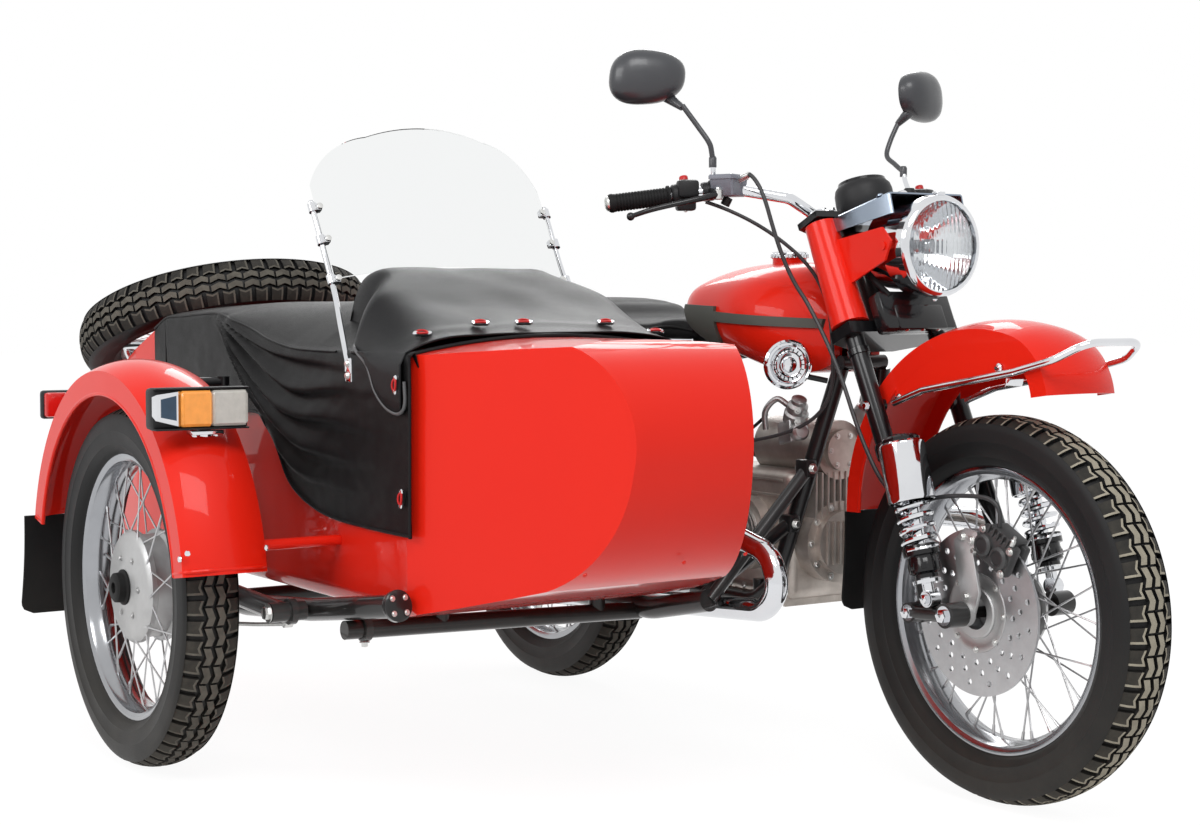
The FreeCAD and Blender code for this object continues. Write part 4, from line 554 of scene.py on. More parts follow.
class Form:
    """Shapes gathered into one mesh.  Sizes are in mm, places are frame points."""

    def __init__(self):
        self.points, self.faces, self.skins = [], [], []

    def add(self, points, faces, skin=0):
        """Points and faces; skin is one number, or one for each face."""
        start = len(self.points)
        self.points += points
        self.faces += [tuple(start + i for i in face) for face in faces]
        self.skins += skin if isinstance(skin, list) else [skin] * len(faces)

    def loft(self, rings, skin=0):
        """A closed skin over rings of points that all have the same count."""
        count, last = len(rings[0]), (len(rings) - 1) * len(rings[0])
        caps = [tuple(range(count)), tuple(last + i for i in range(count))]
        self.add([point for ring in rings for point in ring],
                 grid(len(rings), count, around_ring=True) + caps, skin)

    def lathe(self, profile, centre, axis, steps=40, skin=0):
        """A closed form turned about an axis from (radius, height) points."""
        along, count = axis.normalized(), len(profile)
        points = [centre + (out * r + along * h) * MM
                  for out in around(axis, steps) for r, h in profile]
        on_axis = [j for j in range(count) if profile[j][0] == profile[(j + 1) % count][0] == 0]
        faces = grid(steps, count, around_rows=True, around_ring=True)
        self.add(points, [face for face in faces if face[0] % count not in on_axis], skin)

    def collar(self, inner, outer, low, high, centre, axis, steps=40, skin=0):
        """A plain ring, or a round bar where the inner radius is 0."""
        self.lathe([(inner, low), (outer, low), (outer, high), (inner, high)], centre, axis,
                   steps, skin)

    def tube(self, points, radius, sides=10, skin=0, per=6):
        """A round tube along a soft curve; radius may be a list that tapers it."""
        line = smooth_path(points, per)
        radii = radius if isinstance(radius, list) else [radius, radius]
        rings, side = [], None
        for i, spot in enumerate(line):
            way = (line[min(i + 1, len(line) - 1)] - line[max(i - 1, 0)]).normalized()
            side = across(way)[0] if side is None else (side - way * side.dot(way)).normalized()
            up = way.cross(side)
            share = i / (len(line) - 1) * (len(radii) - 1)
            j = min(int(share), len(radii) - 2)
            r = radii[j] + (radii[j + 1] - radii[j]) * (share - j)
            turns = [2 * math.pi * k / sides for k in range(sides)]
            rings.append([spot + (side * math.cos(turn) + up * math.sin(turn)) * r * MM
                          for turn in turns])
        self.loft(rings, skin)

    def box(self, centre, size, edge=2.0, ahead=X, up=Z, skin=0):
        """A box with broken edges, turned so that its length lies along ahead."""
        ahead = ahead.normalized()
        side = up.cross(ahead).normalized()
        up = ahead.cross(side)
        shape = bmesh.new()
        bmesh.ops.create_cube(shape, size=1.0)
        for vertex in shape.verts:
            vertex.co = Vector([a * b for a, b in zip(vertex.co, size)])
        if edge:
            bmesh.ops.bevel(shape, geom=shape.edges[:], offset=edge, segments=2, profile=0.5,
                            affect="EDGES")
        shape.verts.index_update()
        points = [centre + (ahead * v.co.x + side * v.co.y + up * v.co.z) * MM
                  for v in shape.verts]
        self.add(points, [tuple(v.index for v in face.verts) for face in shape.faces], skin)
        shape.free()

    def bolt(self, spot, way, radius=5.0, height=4.0, skin=0):
        """A hexagon head on its washer; spot is on the surface."""
        washer, bevel, along = 1.2, 0.8, way.normalized()
        self.collar(0, radius * 1.45, 0, washer, spot, way, 20, skin)
        rings = [[spot + (out * r + along * h) * MM for out in around(way, 6)]
                 for r, h in ((radius, washer), (radius, height), (radius * 0.86, height + bevel))]
        self.add([point for ring in rings for point in ring],
                 grid(3, 6, around_ring=True) + [tuple(range(12, 18))], skin)

    def made(self, name, body, *skins, sharp=38):
        """The finished object, riding on its body."""
        mesh = bpy.data.meshes.new(name)
        mesh.from_pydata(self.points, [], self.faces)
        for skin in skins:
            mesh.materials.append(finishes[skin][0])
        for face, index in zip(mesh.polygons, self.skins):
            face.material_index = index
        tidy = bmesh.new()
        tidy.from_mesh(mesh)
        bmesh.ops.remove_doubles(tidy, verts=tidy.verts[:], dist=0.02 * MM)
        bmesh.ops.recalc_face_normals(tidy, faces=tidy.faces[:])
        tidy.to_mesh(mesh)
        tidy.free()
        for face in mesh.polygons:
            face.use_smooth = True
        mesh.set_sharp_from_angle(angle=math.radians(sharp))
        piece = placed(name, mesh)
        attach(piece, body)
        print("%-22s on %-14s %6d faces" % (name, body, len(mesh.polygons)))
        return piece


# %% [markdown]
# ## Tyres
# A road tyre for rough country: two zigzag ribs round the middle, and a row of blocks on each
# shoulder that runs down onto the sidewall.  The tread is one grid wrapped round the carcass.
# Its rows and columns are set where the grooves have their walls, and a triangle wave shifts the
# rows sideways, so the groove edges zigzag and stay crisp without any cutting.  There are three
# skins: the wall, the dark tops of the blocks, and their edges, which wear pale.

# %% Tyre pattern
tyre_radius, pitches, groove_depth, zigzag = 345.0, 58, 7.5, 3.4
WALL, TOP, EDGE = 0, 1, 2
wall_profile = ((331, 49.5), (326, 52.5), (318, 54.2), (305, 55.6), (299, 56.0), (297, 55.0),
                (285, 53.9), (276, 52.4), (273, 53.0), (270, 51.2), (262, 46), (258, 41),
                (254, 33), (249, 29), (246, 28))
# Rows across half the tread: how far out, the height share, and how strongly the row zigzags
tread_rows = ((0.0, 0.0, 1.0), (3.2, 0.0, 1.0), (4.2, 1.0, 1.0), (7.6, 1.0, 1.0),
              (13.6, 1.0, 1.0), (17.0, 1.0, 1.0), (18.0, 0.0, 1.0), (22.5, 0.0, 1.0),
              (23.5, 1.0, 1.0), (27.5, 1.0, 1.0), (36.5, 1.0, 0.6), (46.0, 1.0, 0.0),
              (49.0, 1.0, 0.0))
# Columns in one pitch: where, and whether the shoulder blocks or the ribs are cut there
tread_columns = ((0.0, 1, 1), (0.25, 1, 1), (0.36, 1, 1), (0.39, 0, 1), (0.5, 0, 1),
                 (0.61, 0, 1), (0.64, 1, 1), (0.75, 1, 1), (0.88, 1, 1), (0.90, 1, 0),
                 (0.97, 1, 0))


def crown_radius(out):
    """Radius of the tread's top at a distance from the tyre's middle plane."""
    return tyre_radius - 0.0042 * out * out - 0.000001 * out ** 4


def tread_ring(where, shoulder_cut, rib_cut):
    """One column across the tyre: radius, distance from the middle plane, and kind."""
    wave = abs(where * 2 - 1) * 2 - 1
    ring = [(r, -h, WALL) for r, h in reversed(wall_profile)]
    rows = [(-out, share, zig, -1) for out, share, zig in reversed(tread_rows[1:])]
    for out, share, zig, hand in rows + [(*row, 1) for row in tread_rows]:
        width = abs(out)
        shift = zigzag * wave * zig * (hand if width > 20 else -1)
        reach = out + (shift if out else 0)
        if width >= 23 and not shoulder_cut:
            share = 0.0
        elif 4 <= width <= 17 and not rib_cut:
            share = 0.35
        edge = width < 8 or 13 < width < 28 or (width > 23 and 0.2 < where < 0.7)
        ring.append((crown_radius(reach) - groove_depth * (1 - share), reach,
                     WALL if share < 1 else EDGE if edge else TOP))
    return ring + [(r, h, WALL) for r, h in wall_profile]


def tyre(prefix, axis, body):
    """A detailed tyre in place of the frame's plain one."""
    centre = middle_of(prefix + "_tyre")
    side, up = across(axis)
    points, kinds = [], []
    for pitch in range(pitches):
        for column in tread_columns:
            angle = 2 * math.pi * (pitch + column[0]) / pitches
            out_way = side * math.cos(angle) + up * math.sin(angle)
            ring = tread_ring(*column)
            points += [centre + (out_way * r + axis * h) * MM for r, h, kind in ring]
            kinds += [kind for r, h, kind in ring]
    faces = grid(pitches * len(tread_columns), len(ring), around_rows=True)
    corners = [[kinds[corner] for corner in face] for face in faces]
    shape = Form()
    shape.add(points, faces, [min(kind) for kind in corners])
    piece = shape.made(prefix + "_tyre_tread", body, "tyre_wall", "tread_top",
                       "tread_edge" if prefix == "front" else "tread_worn", sharp=30)
    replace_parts(piece, prefix + "_tyre")


lid_slope = math.radians(20)
down_slope = Vector((-math.cos(lid_slope), 0, -math.sin(lid_slope)))
off_slope = Vector((-math.sin(lid_slope), 0, math.cos(lid_slope)))
# Each wheel: how its solids' names start, its axis and its body
wheels = (("rear", Y, "rear_wheel"), ("front", Y, "front_wheel"), ("sidecar", Y, "sidecar_wheel"),
          ("spare", off_slope, "boot_lid"))
for wheel in wheels:
    tyre(*wheel)

# %% [markdown]
# ## Wire wheels
# Each wheel has a polished rim with a rolled lip, butted spokes that cross in pairs and end in
# nipples, and a hub.  The rear, side and spare hubs are smooth drums with a dark cap; the front
# one has cooling fins.  Rim, wires and hub are separate pieces, since each has its own metal.

# %% Rims, spokes and hubs
# The rim's section is the same on both sides, so half of its front and back is enough
half_rim = ((254.5, 36), (254.5, 34.5), (251.5, 33), (246.5, 32), (245.7, 20), (240, 16),
            (233.6, 11))
rim_back = ((251.5, 36.6), (247, 35.2), (241, 32), (238, 22), (231, 13))
rim_section = ([(r, -h) for r, h in half_rim] + [*reversed(half_rim), *rim_back, (230.6, 0)]
               + [(r, -h) for r, h in reversed(rim_back)])
drum_hub = [(11, -42), (40, -42), (46, -38), (96, -35), (103, -31), (108, -26), (108, -16),
            (100, -12), (98, 16), (100, 21), (108, 25), (108, 34), (102, 37), (46, 39), (38, 42),
            (11, 42)]
finned_hub = [(11, -42), (30, -42), (30, -33), (56, -31), (72, -29), (72, -24), (60, -22)]
for low in range(-20, 22, 7):
    finned_hub += [(50, low), (64, low + 0.5), (64, low + 3.5), (50, low + 4)]
finned_hub += [(60, 22), (72, 24), (72, 29), (56, 31), (30, 33), (30, 42), (11, 42)]
hub_cap = [(11, 0), (34, 0), (34, 3), (29, 6), (28, 18), (24, 21), (11, 21)]
spokes, rim_seat, butt, nipple = 40, 231, 12 * MM, 14 * MM


def wire_wheel(prefix, axis, body):
    """A rim, its spokes and its hub in place of the frame's plain rim."""
    centre = middle_of(prefix + "_tyre")
    side, up = across(axis)
    rim, wires, hub, caps = Form(), Form(), Form(), Form()
    rim.lathe(rim_section, centre, axis, 128)
    front = prefix == "front"
    foot_radius, foot_side, lean = (64, 26, 42) if front else (100, 28, 24)
    for i in range(spokes):
        hand, cross = (1 if i % 2 else -1), (1 if (i // 2) % 2 else -1)
        angle = 2 * math.pi * i / spokes
        foot = angle + cross * math.radians(lean)
        start, end = (centre + (side * math.cos(turn) * r + up * math.sin(turn) * r
                                + axis * hand * aside) * MM
                      for turn, r, aside in ((foot, foot_radius, foot_side + 2 * cross),
                                             (angle, rim_seat, 6)))
        way = (end - start).normalized()
        wires.tube([start - way * MM, start + way * butt], 2.3, 8)
        wires.tube([start + way * butt, end - way * nipple], 1.75, 8)
        wires.tube([end - way * nipple, end + way * 2 * MM], [2.6, 3.2], 8)
    if front:
        hub.lathe(finned_hub, centre, axis, 64)
    else:
        hub.lathe(drum_hub, centre, axis, 72)
        for spot in around(axis, 6):
            hub.bolt(centre + (spot * 60 - axis * 37.4) * MM, -axis, 4.2, 2.6)
            hub.bolt(centre + (spot * 60 + axis * 38.4) * MM, axis, 4.2, 2.6)
        for hand in HANDS:
            caps.lathe(hub_cap, centre + axis * hand * 0.0425, axis * hand, 40)
        caps.made(prefix + "_hub_caps", body, "black_rubber")
    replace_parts(rim.made(prefix + "_rim_ring", body, "polished_rim"), prefix + "_rim")
    wires.made(prefix + "_wires", body, "drawn_steel")
    hub.made(prefix + "_hub", body, "hub_casting")


for wheel in wheels:
    wire_wheel(*wheel)

# %% [markdown]
# ## Struts
# A spring is a wire wound in a helix, which a plain solid only hints at, so real coils take its
# place.  At the front a wide chrome cup hides the upper half, and a slotted black collar that
# sets the spring's load hides the lower end.  The rear struts keep the frame's chrome cups.

# %% Coil springs
steps_per_turn = 22


def coil(form, top, foot, start, end, radius, wire, turns):
    """A helix about the line from top to foot, between two distances along it."""
    way = (foot - top).normalized()
    side, up = across(way)
    points = []
    steps, flat_end = turns * steps_per_turn, 0.04
    for i in range(steps + 1):
        share = i / steps
        angle = 2 * math.pi * turns * share
        rise = min(1, max(0, (share - flat_end) / (1 - 2 * flat_end)))
        reach = start + (end - start) * rise
        out = side * math.cos(angle) + up * math.sin(angle)
        points.append(top + (way * reach + out * radius) * MM)
    form.tube(points, wire, 8, per=1)


coils, collars, rear_coils = Form(), Form(), Form()
for hand in (1, -1):
    top, foot = at(1384, 150 * hand, 642), at(1466, 150 * hand, 371.3)
    coil(coils, top, foot, 106, 196, 29, 5.0, 5)
    way = (foot - top).normalized()
    collars.lathe([(11, 188), (32, 188), (33, 191), (33, 206), (27, 208), (27, 214),
                   (28, 216), (28, 236), (21, 240), (21, 247), (11, 247)], top, way, 36)
    collars.lathe([(0, 2), (36, 2), (41, 6), (42, 12), (42, 106), (41, 110), (38, 110), (38, 14),
                   (0, 14)], top, way, 56, 1)
    collars.lathe([(0, -8), (30, -8), (34, -4), (34, 3), (0, 3)], top, way, 40)
    for out in around(way, 8):
        collars.box(top + (way * 225 + out * 27.6) * MM, (12, 8, 3), 0.8, way, out)
coils = coils.made("front_coils", "fork", "bright_chrome")
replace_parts(coils, "front_springs")
collars.made("front_spring_cups", "fork", "shiny_plastic", "bright_chrome")
for top, foot, start, radius, wire, turns in (
        (at(86, 172, 748), at(22, 172, 372), 133, 24.5, 4.4, 8),
        (at(86, -172, 748), at(22, -172, 372), 133, 24.5, 4.4, 8),
        (at(330, -1037, 650), at(430, -1041, 377.4), 113, 23.5, 4.3, 7)):
    coil(rear_coils, top, foot, start, (foot - top).length * 1000 - 34, radius, wire, turns)
rear_coils = rear_coils.made("rear_coils", "chassis", "bright_chrome")
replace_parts(rear_coils, "rear_springs")

# %% [markdown]
# ## Headlamp
# The frame has the chrome bowl.  Inside it goes a polished reflector: a dish with shallow
# facets, deep enough to mirror what stands around it, and a bulb behind a small cap.  The glass
# is a domed disc with upright flutes, thin, so that the dish shows through.

# %% Reflector, bulb and glass
lamp_centre = at(1292, 0, 991)
dish_rings, dish_steps, facets, facet_height = 14, 96, 12, 0.9
hole_radius, dish_radius, dish_rim, dish_depth = 12, 83.5, 22, 74
dish = Form()
points = []
for j in range(dish_rings + 1):
    share = j / dish_rings
    r = hole_radius + (dish_radius - hole_radius) * share
    for i in range(dish_steps):
        angle = 2 * math.pi * i / dish_steps
        depth = (dish_rim - dish_depth * (1 - (r / dish_radius) ** 2)
                 + facet_height * math.cos(angle * facets) * share)
        points.append(lamp_centre + mm(depth, math.cos(angle) * r, math.sin(angle) * r))
dish.add(points, grid(dish_rings + 1, dish_steps, around_ring=True))
dish.lathe([(0, -52), (13, -52), (13, -30), (9, -28), (9, -12), (14, -10), (14, 2), (10, 6),
            (0, 7)], lamp_centre, X, 32, 1)
dish.made("headlamp_reflector", "fork", "bright_chrome", "polished_rim", sharp=60)
cells, glass_radius, glass_thickness, flute_height, flute_pitch = 60, 83, 2.6, 0.55, 11
row = cells + 1
glass = Form()
points = []
for inner in (0, 1):
    for i in range(row):
        for j in range(row):
            u, v = i / cells * 2 - 1, j / cells * 2 - 1
            # A square of points becomes a round disc
            y = u * math.sqrt(1 - v * v / 2) * glass_radius
            z = v * math.sqrt(1 - u * u / 2) * glass_radius
            dome = 38 - 10 * (y * y + z * z) / glass_radius ** 2
            flute = flute_height * math.cos(y * 2 * math.pi / flute_pitch) * inner
            points.append(lamp_centre + mm(dome - glass_thickness * inner + flute, y, z))
rim = ([i * row for i in range(row)] + [cells * row + j for j in range(1, row)]
       + [i * row + cells for i in range(cells - 1, -1, -1)] + list(range(cells - 1, 0, -1)))
glass.add(points, grid(row, row) + grid(row, row, row * row)
          + [(a, b, row * row + b, row * row + a) for a, b in zip(rim, rim[1:] + rim[:1])])
lens = glass.made("headlamp_fluted_glass", "fork", "lamp_glass", sharp=60)
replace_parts(lens, "headlamp_lens")
ring = Form()
ring.lathe([(82.5, 27), (88, 27), (93.4, 22), (93.8, 28), (91, 34.5), (86, 37.5), (82.5, 36)],
           lamp_centre, X, 96)
ring.box(lamp_centre + mm(22, 0, 95.5), (16, 20, 7), 1.5)
ring.bolt(lamp_centre + mm(14, 0, -97), -Z, 3.6, 3)
ring.made("headlamp_ring", "fork", "bright_chrome")

# %% [markdown]
# ## Instruments and the top plate
# Behind the lamp a chrome plate, its blue grey a painted reflection, spans from the upper yoke
# to the top of the lamp.
# It tapers forward, and its sides are folded down, deeper towards the front.  The speedometer
# is a deep black drum that leans back towards the rider.

# %% Top plate
plate_rear, plate_front = at(1064, 0, 1028), at(1280, 0, 1089)
plate_way = (plate_front - plate_rear).normalized()
plate_up = Vector((-plate_way.z, 0, plate_way.x))
top_plate = Form()
rings = []
for share in (0, 0.02, 0.5, 0.98, 1):
    half = (101 - 9 * share) * (0.97 if share in (0, 1) else 1)
    fold = 24 + 16 * share
    spot = plate_rear.lerp(plate_front, share)
    right = [(-half, fold), (-half, 3), (-half + 3, 0)]
    under = [(half - 3, fold), (half - 3, 5), (half - 5, 3)]
    section = (right + [(-y, drop) for y, drop in reversed(right)]
               + under + [(-y, drop) for y, drop in reversed(under)])
    rings.append([spot + Y * y * MM - plate_up * drop * MM for y, drop in section])
top_plate.loft(rings)
for hand in HANDS:
    for share in (0.12, 0.88):
        top_plate.bolt(plate_rear.lerp(plate_front, share) + Y * hand * 0.088, plate_up, 5, 4)
for y in (-30, 0, 30):
    spot = plate_rear + plate_way * 0.03 + Y * y * MM
    top_plate.lathe([(0, 0), (8, 0), (8, 2), (5, 6), (0, 7)], spot, plate_up, 20, 2 if y else 0)
# The plate's blue-grey colour is a painted reflection on chrome
top_plate.made("top_plate", "fork", "chrome_painted_blue_reflection", "black_rubber", "red_lens")

# %% Speedometer drum
drum_foot, drum_way = at(1117, 0, 1052), Vector((-0.27, 0, 0.963))
side, up = across(drum_way)
drum = Form()
drum.lathe([(0, -4), (38, -4), (50, 4), (55, 16), (56, 30), (55.5, 46), (53, 56), (46, 64),
            (42, 67), (40, 66), (40, 60), (0, 60)], drum_foot, drum_way, 64)
drum.collar(0, 40, 60, 61.5, drum_foot, drum_way, 48, 1)
drum.lathe([(39, 62), (47, 62), (45.5, 68.5), (41, 70), (39, 68)], drum_foot, drum_way, 64, 2)
marks, dial_start, dial_sweep = 32, -130, 260
for i in range(marks + 1):
    angle = math.radians(dial_start + dial_sweep * i / marks)
    out = side * math.sin(angle) - up * math.cos(angle)
    long = 4 if i % 4 else 7
    drum.box(drum_foot + (drum_way * 61.9 + out * (36 - long / 2)) * MM,
             (long, 0.9, 0.5), 0, out, drum_way, 3)
drum.box(drum_foot + (drum_way * 63 - side * 10) * MM, (44, 1.6, 0.8), 0,
         side + up * 0.3, drum_way, 4)
drum = drum.made("speedometer", "fork", "matt_plastic", "shiny_plastic", "shiny_plastic",
                 "clear_lens", "clip_red", sharp=30)
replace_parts(drum, "instrument")

# %% [markdown]
# ## Handlebar controls
# Each grip is a ribbed sleeve with a metal end.  Inboard of it sits a clamp-on cluster of
# switches, then the lever's perch.  The right perch carries the brake's fluid box, the left one
# the clutch lever.  `on_bar` measures along the bar from the grip's end.

# %% Places on the bar


def on_bar(hand, along, off=(0, 0, 0)):
    """A place on the bar from the grip's end, -1 for the right hand, and the bar's way there."""
    way = Vector((80, -170 * hand, 24)).normalized()
    return at(868 + off[0], (432 - off[1]) * hand, 1074 + off[2]) + way * along * MM, way


grip_profile = [(11.4, 3), (15.5, 3), (17.6, 6), (18.2, 10)]
for low in range(13, 110, 6):
    grip_profile += [(17.2, low), (17.2, low + 3.4), (16.1, low + 4.0), (16.1, low + 5.4)]
grip_profile += [(17.2, 115), (20.5, 117), (20.5, 121), (11.4, 122)]
sleeves, ends = Form(), Form()
for hand in HANDS:
    spot, way = on_bar(hand, 0)
    sleeves.lathe(grip_profile, spot, way, 36)
    ends.lathe([(0, -3.5), (9, -3.5), (13.5, -1), (14.5, 3), (13, 7), (0, 7)], spot, way, 32)
sleeves = sleeves.made("ribbed_grips", "fork", "black_rubber", sharp=50)
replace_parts(sleeves, "grips")
ends.made("bar_ends", "fork", "bolt_zinc")

# %% Switch clusters, perches and levers
switches, levers, fluid_box = Form(), Form(), Form()
for hand in HANDS:
    spot, way = on_bar(hand, 148)
    switches.lathe([(11.4, -24), (17, -24), (21, -20), (22, -4), (23, 0), (22, 4), (21, 20),
                    (17, 24), (11.4, 24)], spot, way, 28)
    for ahead, height, size, edge in ((14, 10, (34, 40, 34), 6), (8, -20, (34, 36, 22), 5)):
        switches.box(spot + mm(ahead, 0, height), size, edge, way.cross(Z), Z)
    switches.box(spot + mm(-19, 0, 12), (7, 14, 8), 2, way, Z, 1)
    switches.lathe([(0, 0), (8.5, 0), (8.5, 7), (7, 9), (0, 9.5)], spot + mm(2, 0, 26),
                   Vector((-0.3, 0, 1)), 24, 2)
    switches.bolt(spot + mm(8, 0, -31), -Z, 3, 2, 3)
    perch, way = on_bar(hand, 196)
    switches.lathe([(11.4, -11), (17.5, -11), (18.5, -8), (18.5, 8), (17.5, 11), (11.4, 11)],
                   perch, way, 28)
    pivot = perch + mm(34, 0, -7)
    switches.box(perch.lerp(pivot, 0.62), (34, 20, 18), 4, pivot - perch, Z)
    levers.lathe([(0, -10), (6, -10), (8.5, -8.5), (8.5, 8.5), (6, 10), (0, 10)], pivot, Z, 20, 1)
    line = [pivot] + [on_bar(hand, along, (ahead, 0, drop))[0] for along, ahead, drop in (
        (160, 42, -10), (110, 47, -14), (60, 44, -20), (24, 38, -28))]
    levers.tube(line, [7.5, 6.2, 5.4, 5.0, 4.6], 12)
    levers.lathe([(0, -8), (4, -7), (7, -4), (8, 0), (7, 4), (4, 7), (0, 8)], line[-1], way, 20)
    levers.bolt(pivot + Z * 0.009, Z, 4.5, 4, 1)
box_low = at(976, -226, 1089)
box_ahead = Vector((0.9, 0.42, 0.0)).normalized()
box_side = Vector((-box_ahead.y, box_ahead.x, 0))
outline = [(-1, -0.86), (-0.86, -1), (0.86, -1), (1, -0.86)]
outline += [(-a, -b) for a, b in outline]


def on_box(ahead, aside, height):
    """A place by the fluid box, along its own sides."""
    return box_low + (box_ahead * ahead + box_side * aside + Z * height) * MM


fluid_box.loft([[on_box(a * half_long, b * half_wide, height) for a, b in outline]
                for height, half_long, half_wide in ((0, 22, 27), (2, 24, 29), (32, 25, 33),
                                                     (32.5, 27, 35), (39, 27, 35),
                                                     (41, 25.5, 33.5))])
for a, b in ((-20, -26.4), (20, -26.4), (20, 26.4), (-20, 26.4)):
    fluid_box.lathe([(0, 0), (3.4, 0), (3, 1.6), (0, 1.6)], on_box(a, b, 40.5), Z, 14, 1)
fluid_box.tube(path(((992, -220, 1118), (1019, -210.5, 1129))), 6.5, 14, 1)
fluid_box.tube([box_low - Z * 0.002, box_low + mm(-6, -4, -16)], 9, 16, 2)
switches = switches.made("switch_clusters", "fork", "matt_plastic", "shiny_plastic", "clip_red",
                         "bolt_zinc")
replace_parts(switches, "hand_controls")
levers.made("levers", "fork", "shiny_plastic", "bolt_zinc")
fluid_box.made("brake_fluid_box", "fork", "grey_plastic", "bolt_zinc", "matt_plastic")

# %% Bar clamps
clamps = Form()
for hand in HANDS:
    spot = at(1050, 42 * hand, 1046)
    clamps.lathe([(11.2, -14), (19, -14), (20, -11), (20, 11), (19, 14), (11.2, 14)], spot,
                 Vector((0.18, -hand, 0)), 28)
    for ahead in (-13, 13):
        clamps.bolt(spot + mm(ahead, 0, 18), Z, 5, 5)
clamps.made("bar_clamps", "fork", "bright_chrome")

# %% [markdown]
# ## Mirrors
# The shell of a mirror is a rounded shape that is wider than high, full at its outer end and
# drawn in to a neck at its lower inner corner.  It is lofted from rings of one outline that
# shrink towards the back.  The glass is a flat sheet, set a little into the rim.

# %% Mirrors
half_width, half_height, outline_points = 74, 52, 48


def mirror_outline(scale, hand, shift=0.0):
    """Points round a mirror, in its own plane: outward and up, in mm."""
    ring = []
    for i in range(outline_points):
        angle = 2 * math.pi * i / outline_points
        c, s = math.cos(angle), math.sin(angle)
        out = math.copysign(abs(c) ** 0.8, c)
        up = math.copysign(abs(s) ** 0.82, s) * (1.0 + 0.10 * out)
        ring.append((hand * ((half_width * out - 6 * up) * scale + shift),
                     half_height * up * scale))
    return ring


shell_rings = ((0.955, -6, 0), (0.985, -8, 0), (1.0, -4, 0), (1.0, 4, 0), (0.965, 13, 0),
               (0.87, 22, -1), (0.72, 29, -2), (0.52, 34, -3), (0.28, 36.5, -4), (0.08, 37.2, -4))
glass_rings = ((0.952, -6.6, 0), (0.952, -5.2, 0))
mirrors = Form()
for hand in HANDS:
    head = at(876, 345 * hand, 1317)
    back = Vector((0.94, 0.34 * hand, 0.03)).normalized()
    side = Z.cross(back).normalized()
    up = back.cross(side)
    for skin, rings in enumerate((shell_rings, glass_rings)):
        mirrors.loft([[head + (side * u + up * v + back * depth) * MM
                       for u, v in mirror_outline(scale, hand, shift)]
                      for scale, depth, shift in rings], skin)
    # The left stem leans further back than the right one
    slant = 0 if hand < 0 else 56
    neck = head + mm(12, -38 * hand, -36)
    nut, base = at(962 - 0.5 * slant, 253 * hand, 1154), at(958, 248 * hand, 1112)
    mirrors.tube([neck + mm(-4, 22 * hand, 16), neck, at(922 - slant, 296 * hand, 1258)],
                 [17, 12, 6.5], 16)
    mirrors.tube(path(((924 - slant, 297, 1262), (945 - 1.4 * slant, 276, 1222),
                       (962 - 1.6 * slant, 262, 1191), (964 - 1.1 * slant, 257, 1172)), hand)
                 + [nut], 5.2, 12)
    mirrors.lathe([(0, -10), (7.5, -10), (7.5, 8), (5, 12), (0, 12)], nut, Z, 12)
    mirrors.tube([nut, at(960 - 0.3 * slant, 250 * hand, 1134), base], 5.0, 12, 2)
    mirrors.lathe([(0, -10), (12, -10), (12, 4), (9, 8), (0, 8)], base, Z, 24, 3)
mirrors = mirrors.made("mirror_pair", "fork", "mirror_shell", "mirror_glass", "bright_chrome",
                       "matt_plastic", sharp=45)
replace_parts(mirrors, "mirrors")

# %% [markdown]
# ## Horn
# The horn is a pressed disc with rings, screws round its rim and short ribs round its middle.

# %% Horn
horn_spot, horn_way = at(1060, -148, 770), Vector((0.93, -0.34, -0.05)).normalized()
horn = Form()
horn.lathe([(0, -28), (30, -27), (40, -16), (45, -4), (47.5, 0), (47.5, 5), (44, 9), (41, 6.5),
            (37, 6.5), (34, 11), (30, 8), (26, 8), (23, 13), (19, 10.5), (15, 10.5), (12, 16),
            (6, 18.5), (0, 19)], horn_spot, horn_way, 72)
for out in around(horn_way, 6):
    horn.lathe([(0, 0), (3.2, 0), (2.8, 2), (0, 2.2)],
               horn_spot + (out * 42.5 + horn_way * 6.5) * MM, horn_way, 12)
for out in around(horn_way, 20):
    horn.box(horn_spot + (out * 28 + horn_way * 9) * MM, (7, 1.6, 1.2), 0.3, out, horn_way, 1)
horn.tube([horn_spot - horn_way * 0.012, at(1042, -142, 757), at(1086, -71, 738)], 5.5, 12, 2)
horn = horn.made("horn_rings", "chassis", "bright_chrome", "matt_plastic", "black_enamel")
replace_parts(horn, "horn")

# %% [markdown]
# ## Front brake
# The disc from the frame keeps its holes.  The two-part caliper straddles it: a dark ribbed
# casting with its pistons' bulges and bolts, hung from a light alloy plate that runs down to a
# collar on the axle.

# %% Caliper
axle = at(1500, 0, 345)
angle, turn_by = math.radians(62), Matrix.Rotation(math.radians(28), 3, "Y")
caliper_spot = axle + Vector((math.cos(angle), 0, math.sin(angle))) * 0.128
along, out = turn_by @ X, turn_by @ Z


def by_caliper(ahead, side, height):
    return caliper_spot + (along * ahead + out * height) * MM + Y * side * MM


caliper = Form()
for spot, size, edge in (((0, -87, 4), (88, 22, 60), 7), ((0, -60, 6), (84, 16, 52), 5),
                         ((0, -73, 34), (60, 40, 14), 4)):
    caliper.box(by_caliper(*spot), size, edge, along, out)
for ahead in (-21, 21):
    caliper.lathe([(0, 0), (20, 0), (20, 6), (16, 10), (13, 10), (12, 8), (0, 8)],
                  by_caliper(ahead, -97, 2), -Y, 32)
    for height in (-20, 26):
        caliper.bolt(by_caliper(ahead * 1.75, -98, height), -Y, 5, 5, 1)
for ahead in range(-24, 25, 12):
    caliper.box(by_caliper(ahead, -98, 34), (4, 5, 16), 1, along, out)
caliper.lathe([(0, 0), (5, 0), (5, 10), (3, 12), (3, 18), (0, 18)], by_caliper(30, -92, 34),
              out, 14, 1)
caliper.collar(11, 22, -2, 12, axle - Y * 0.1077, Y, 36, 2)
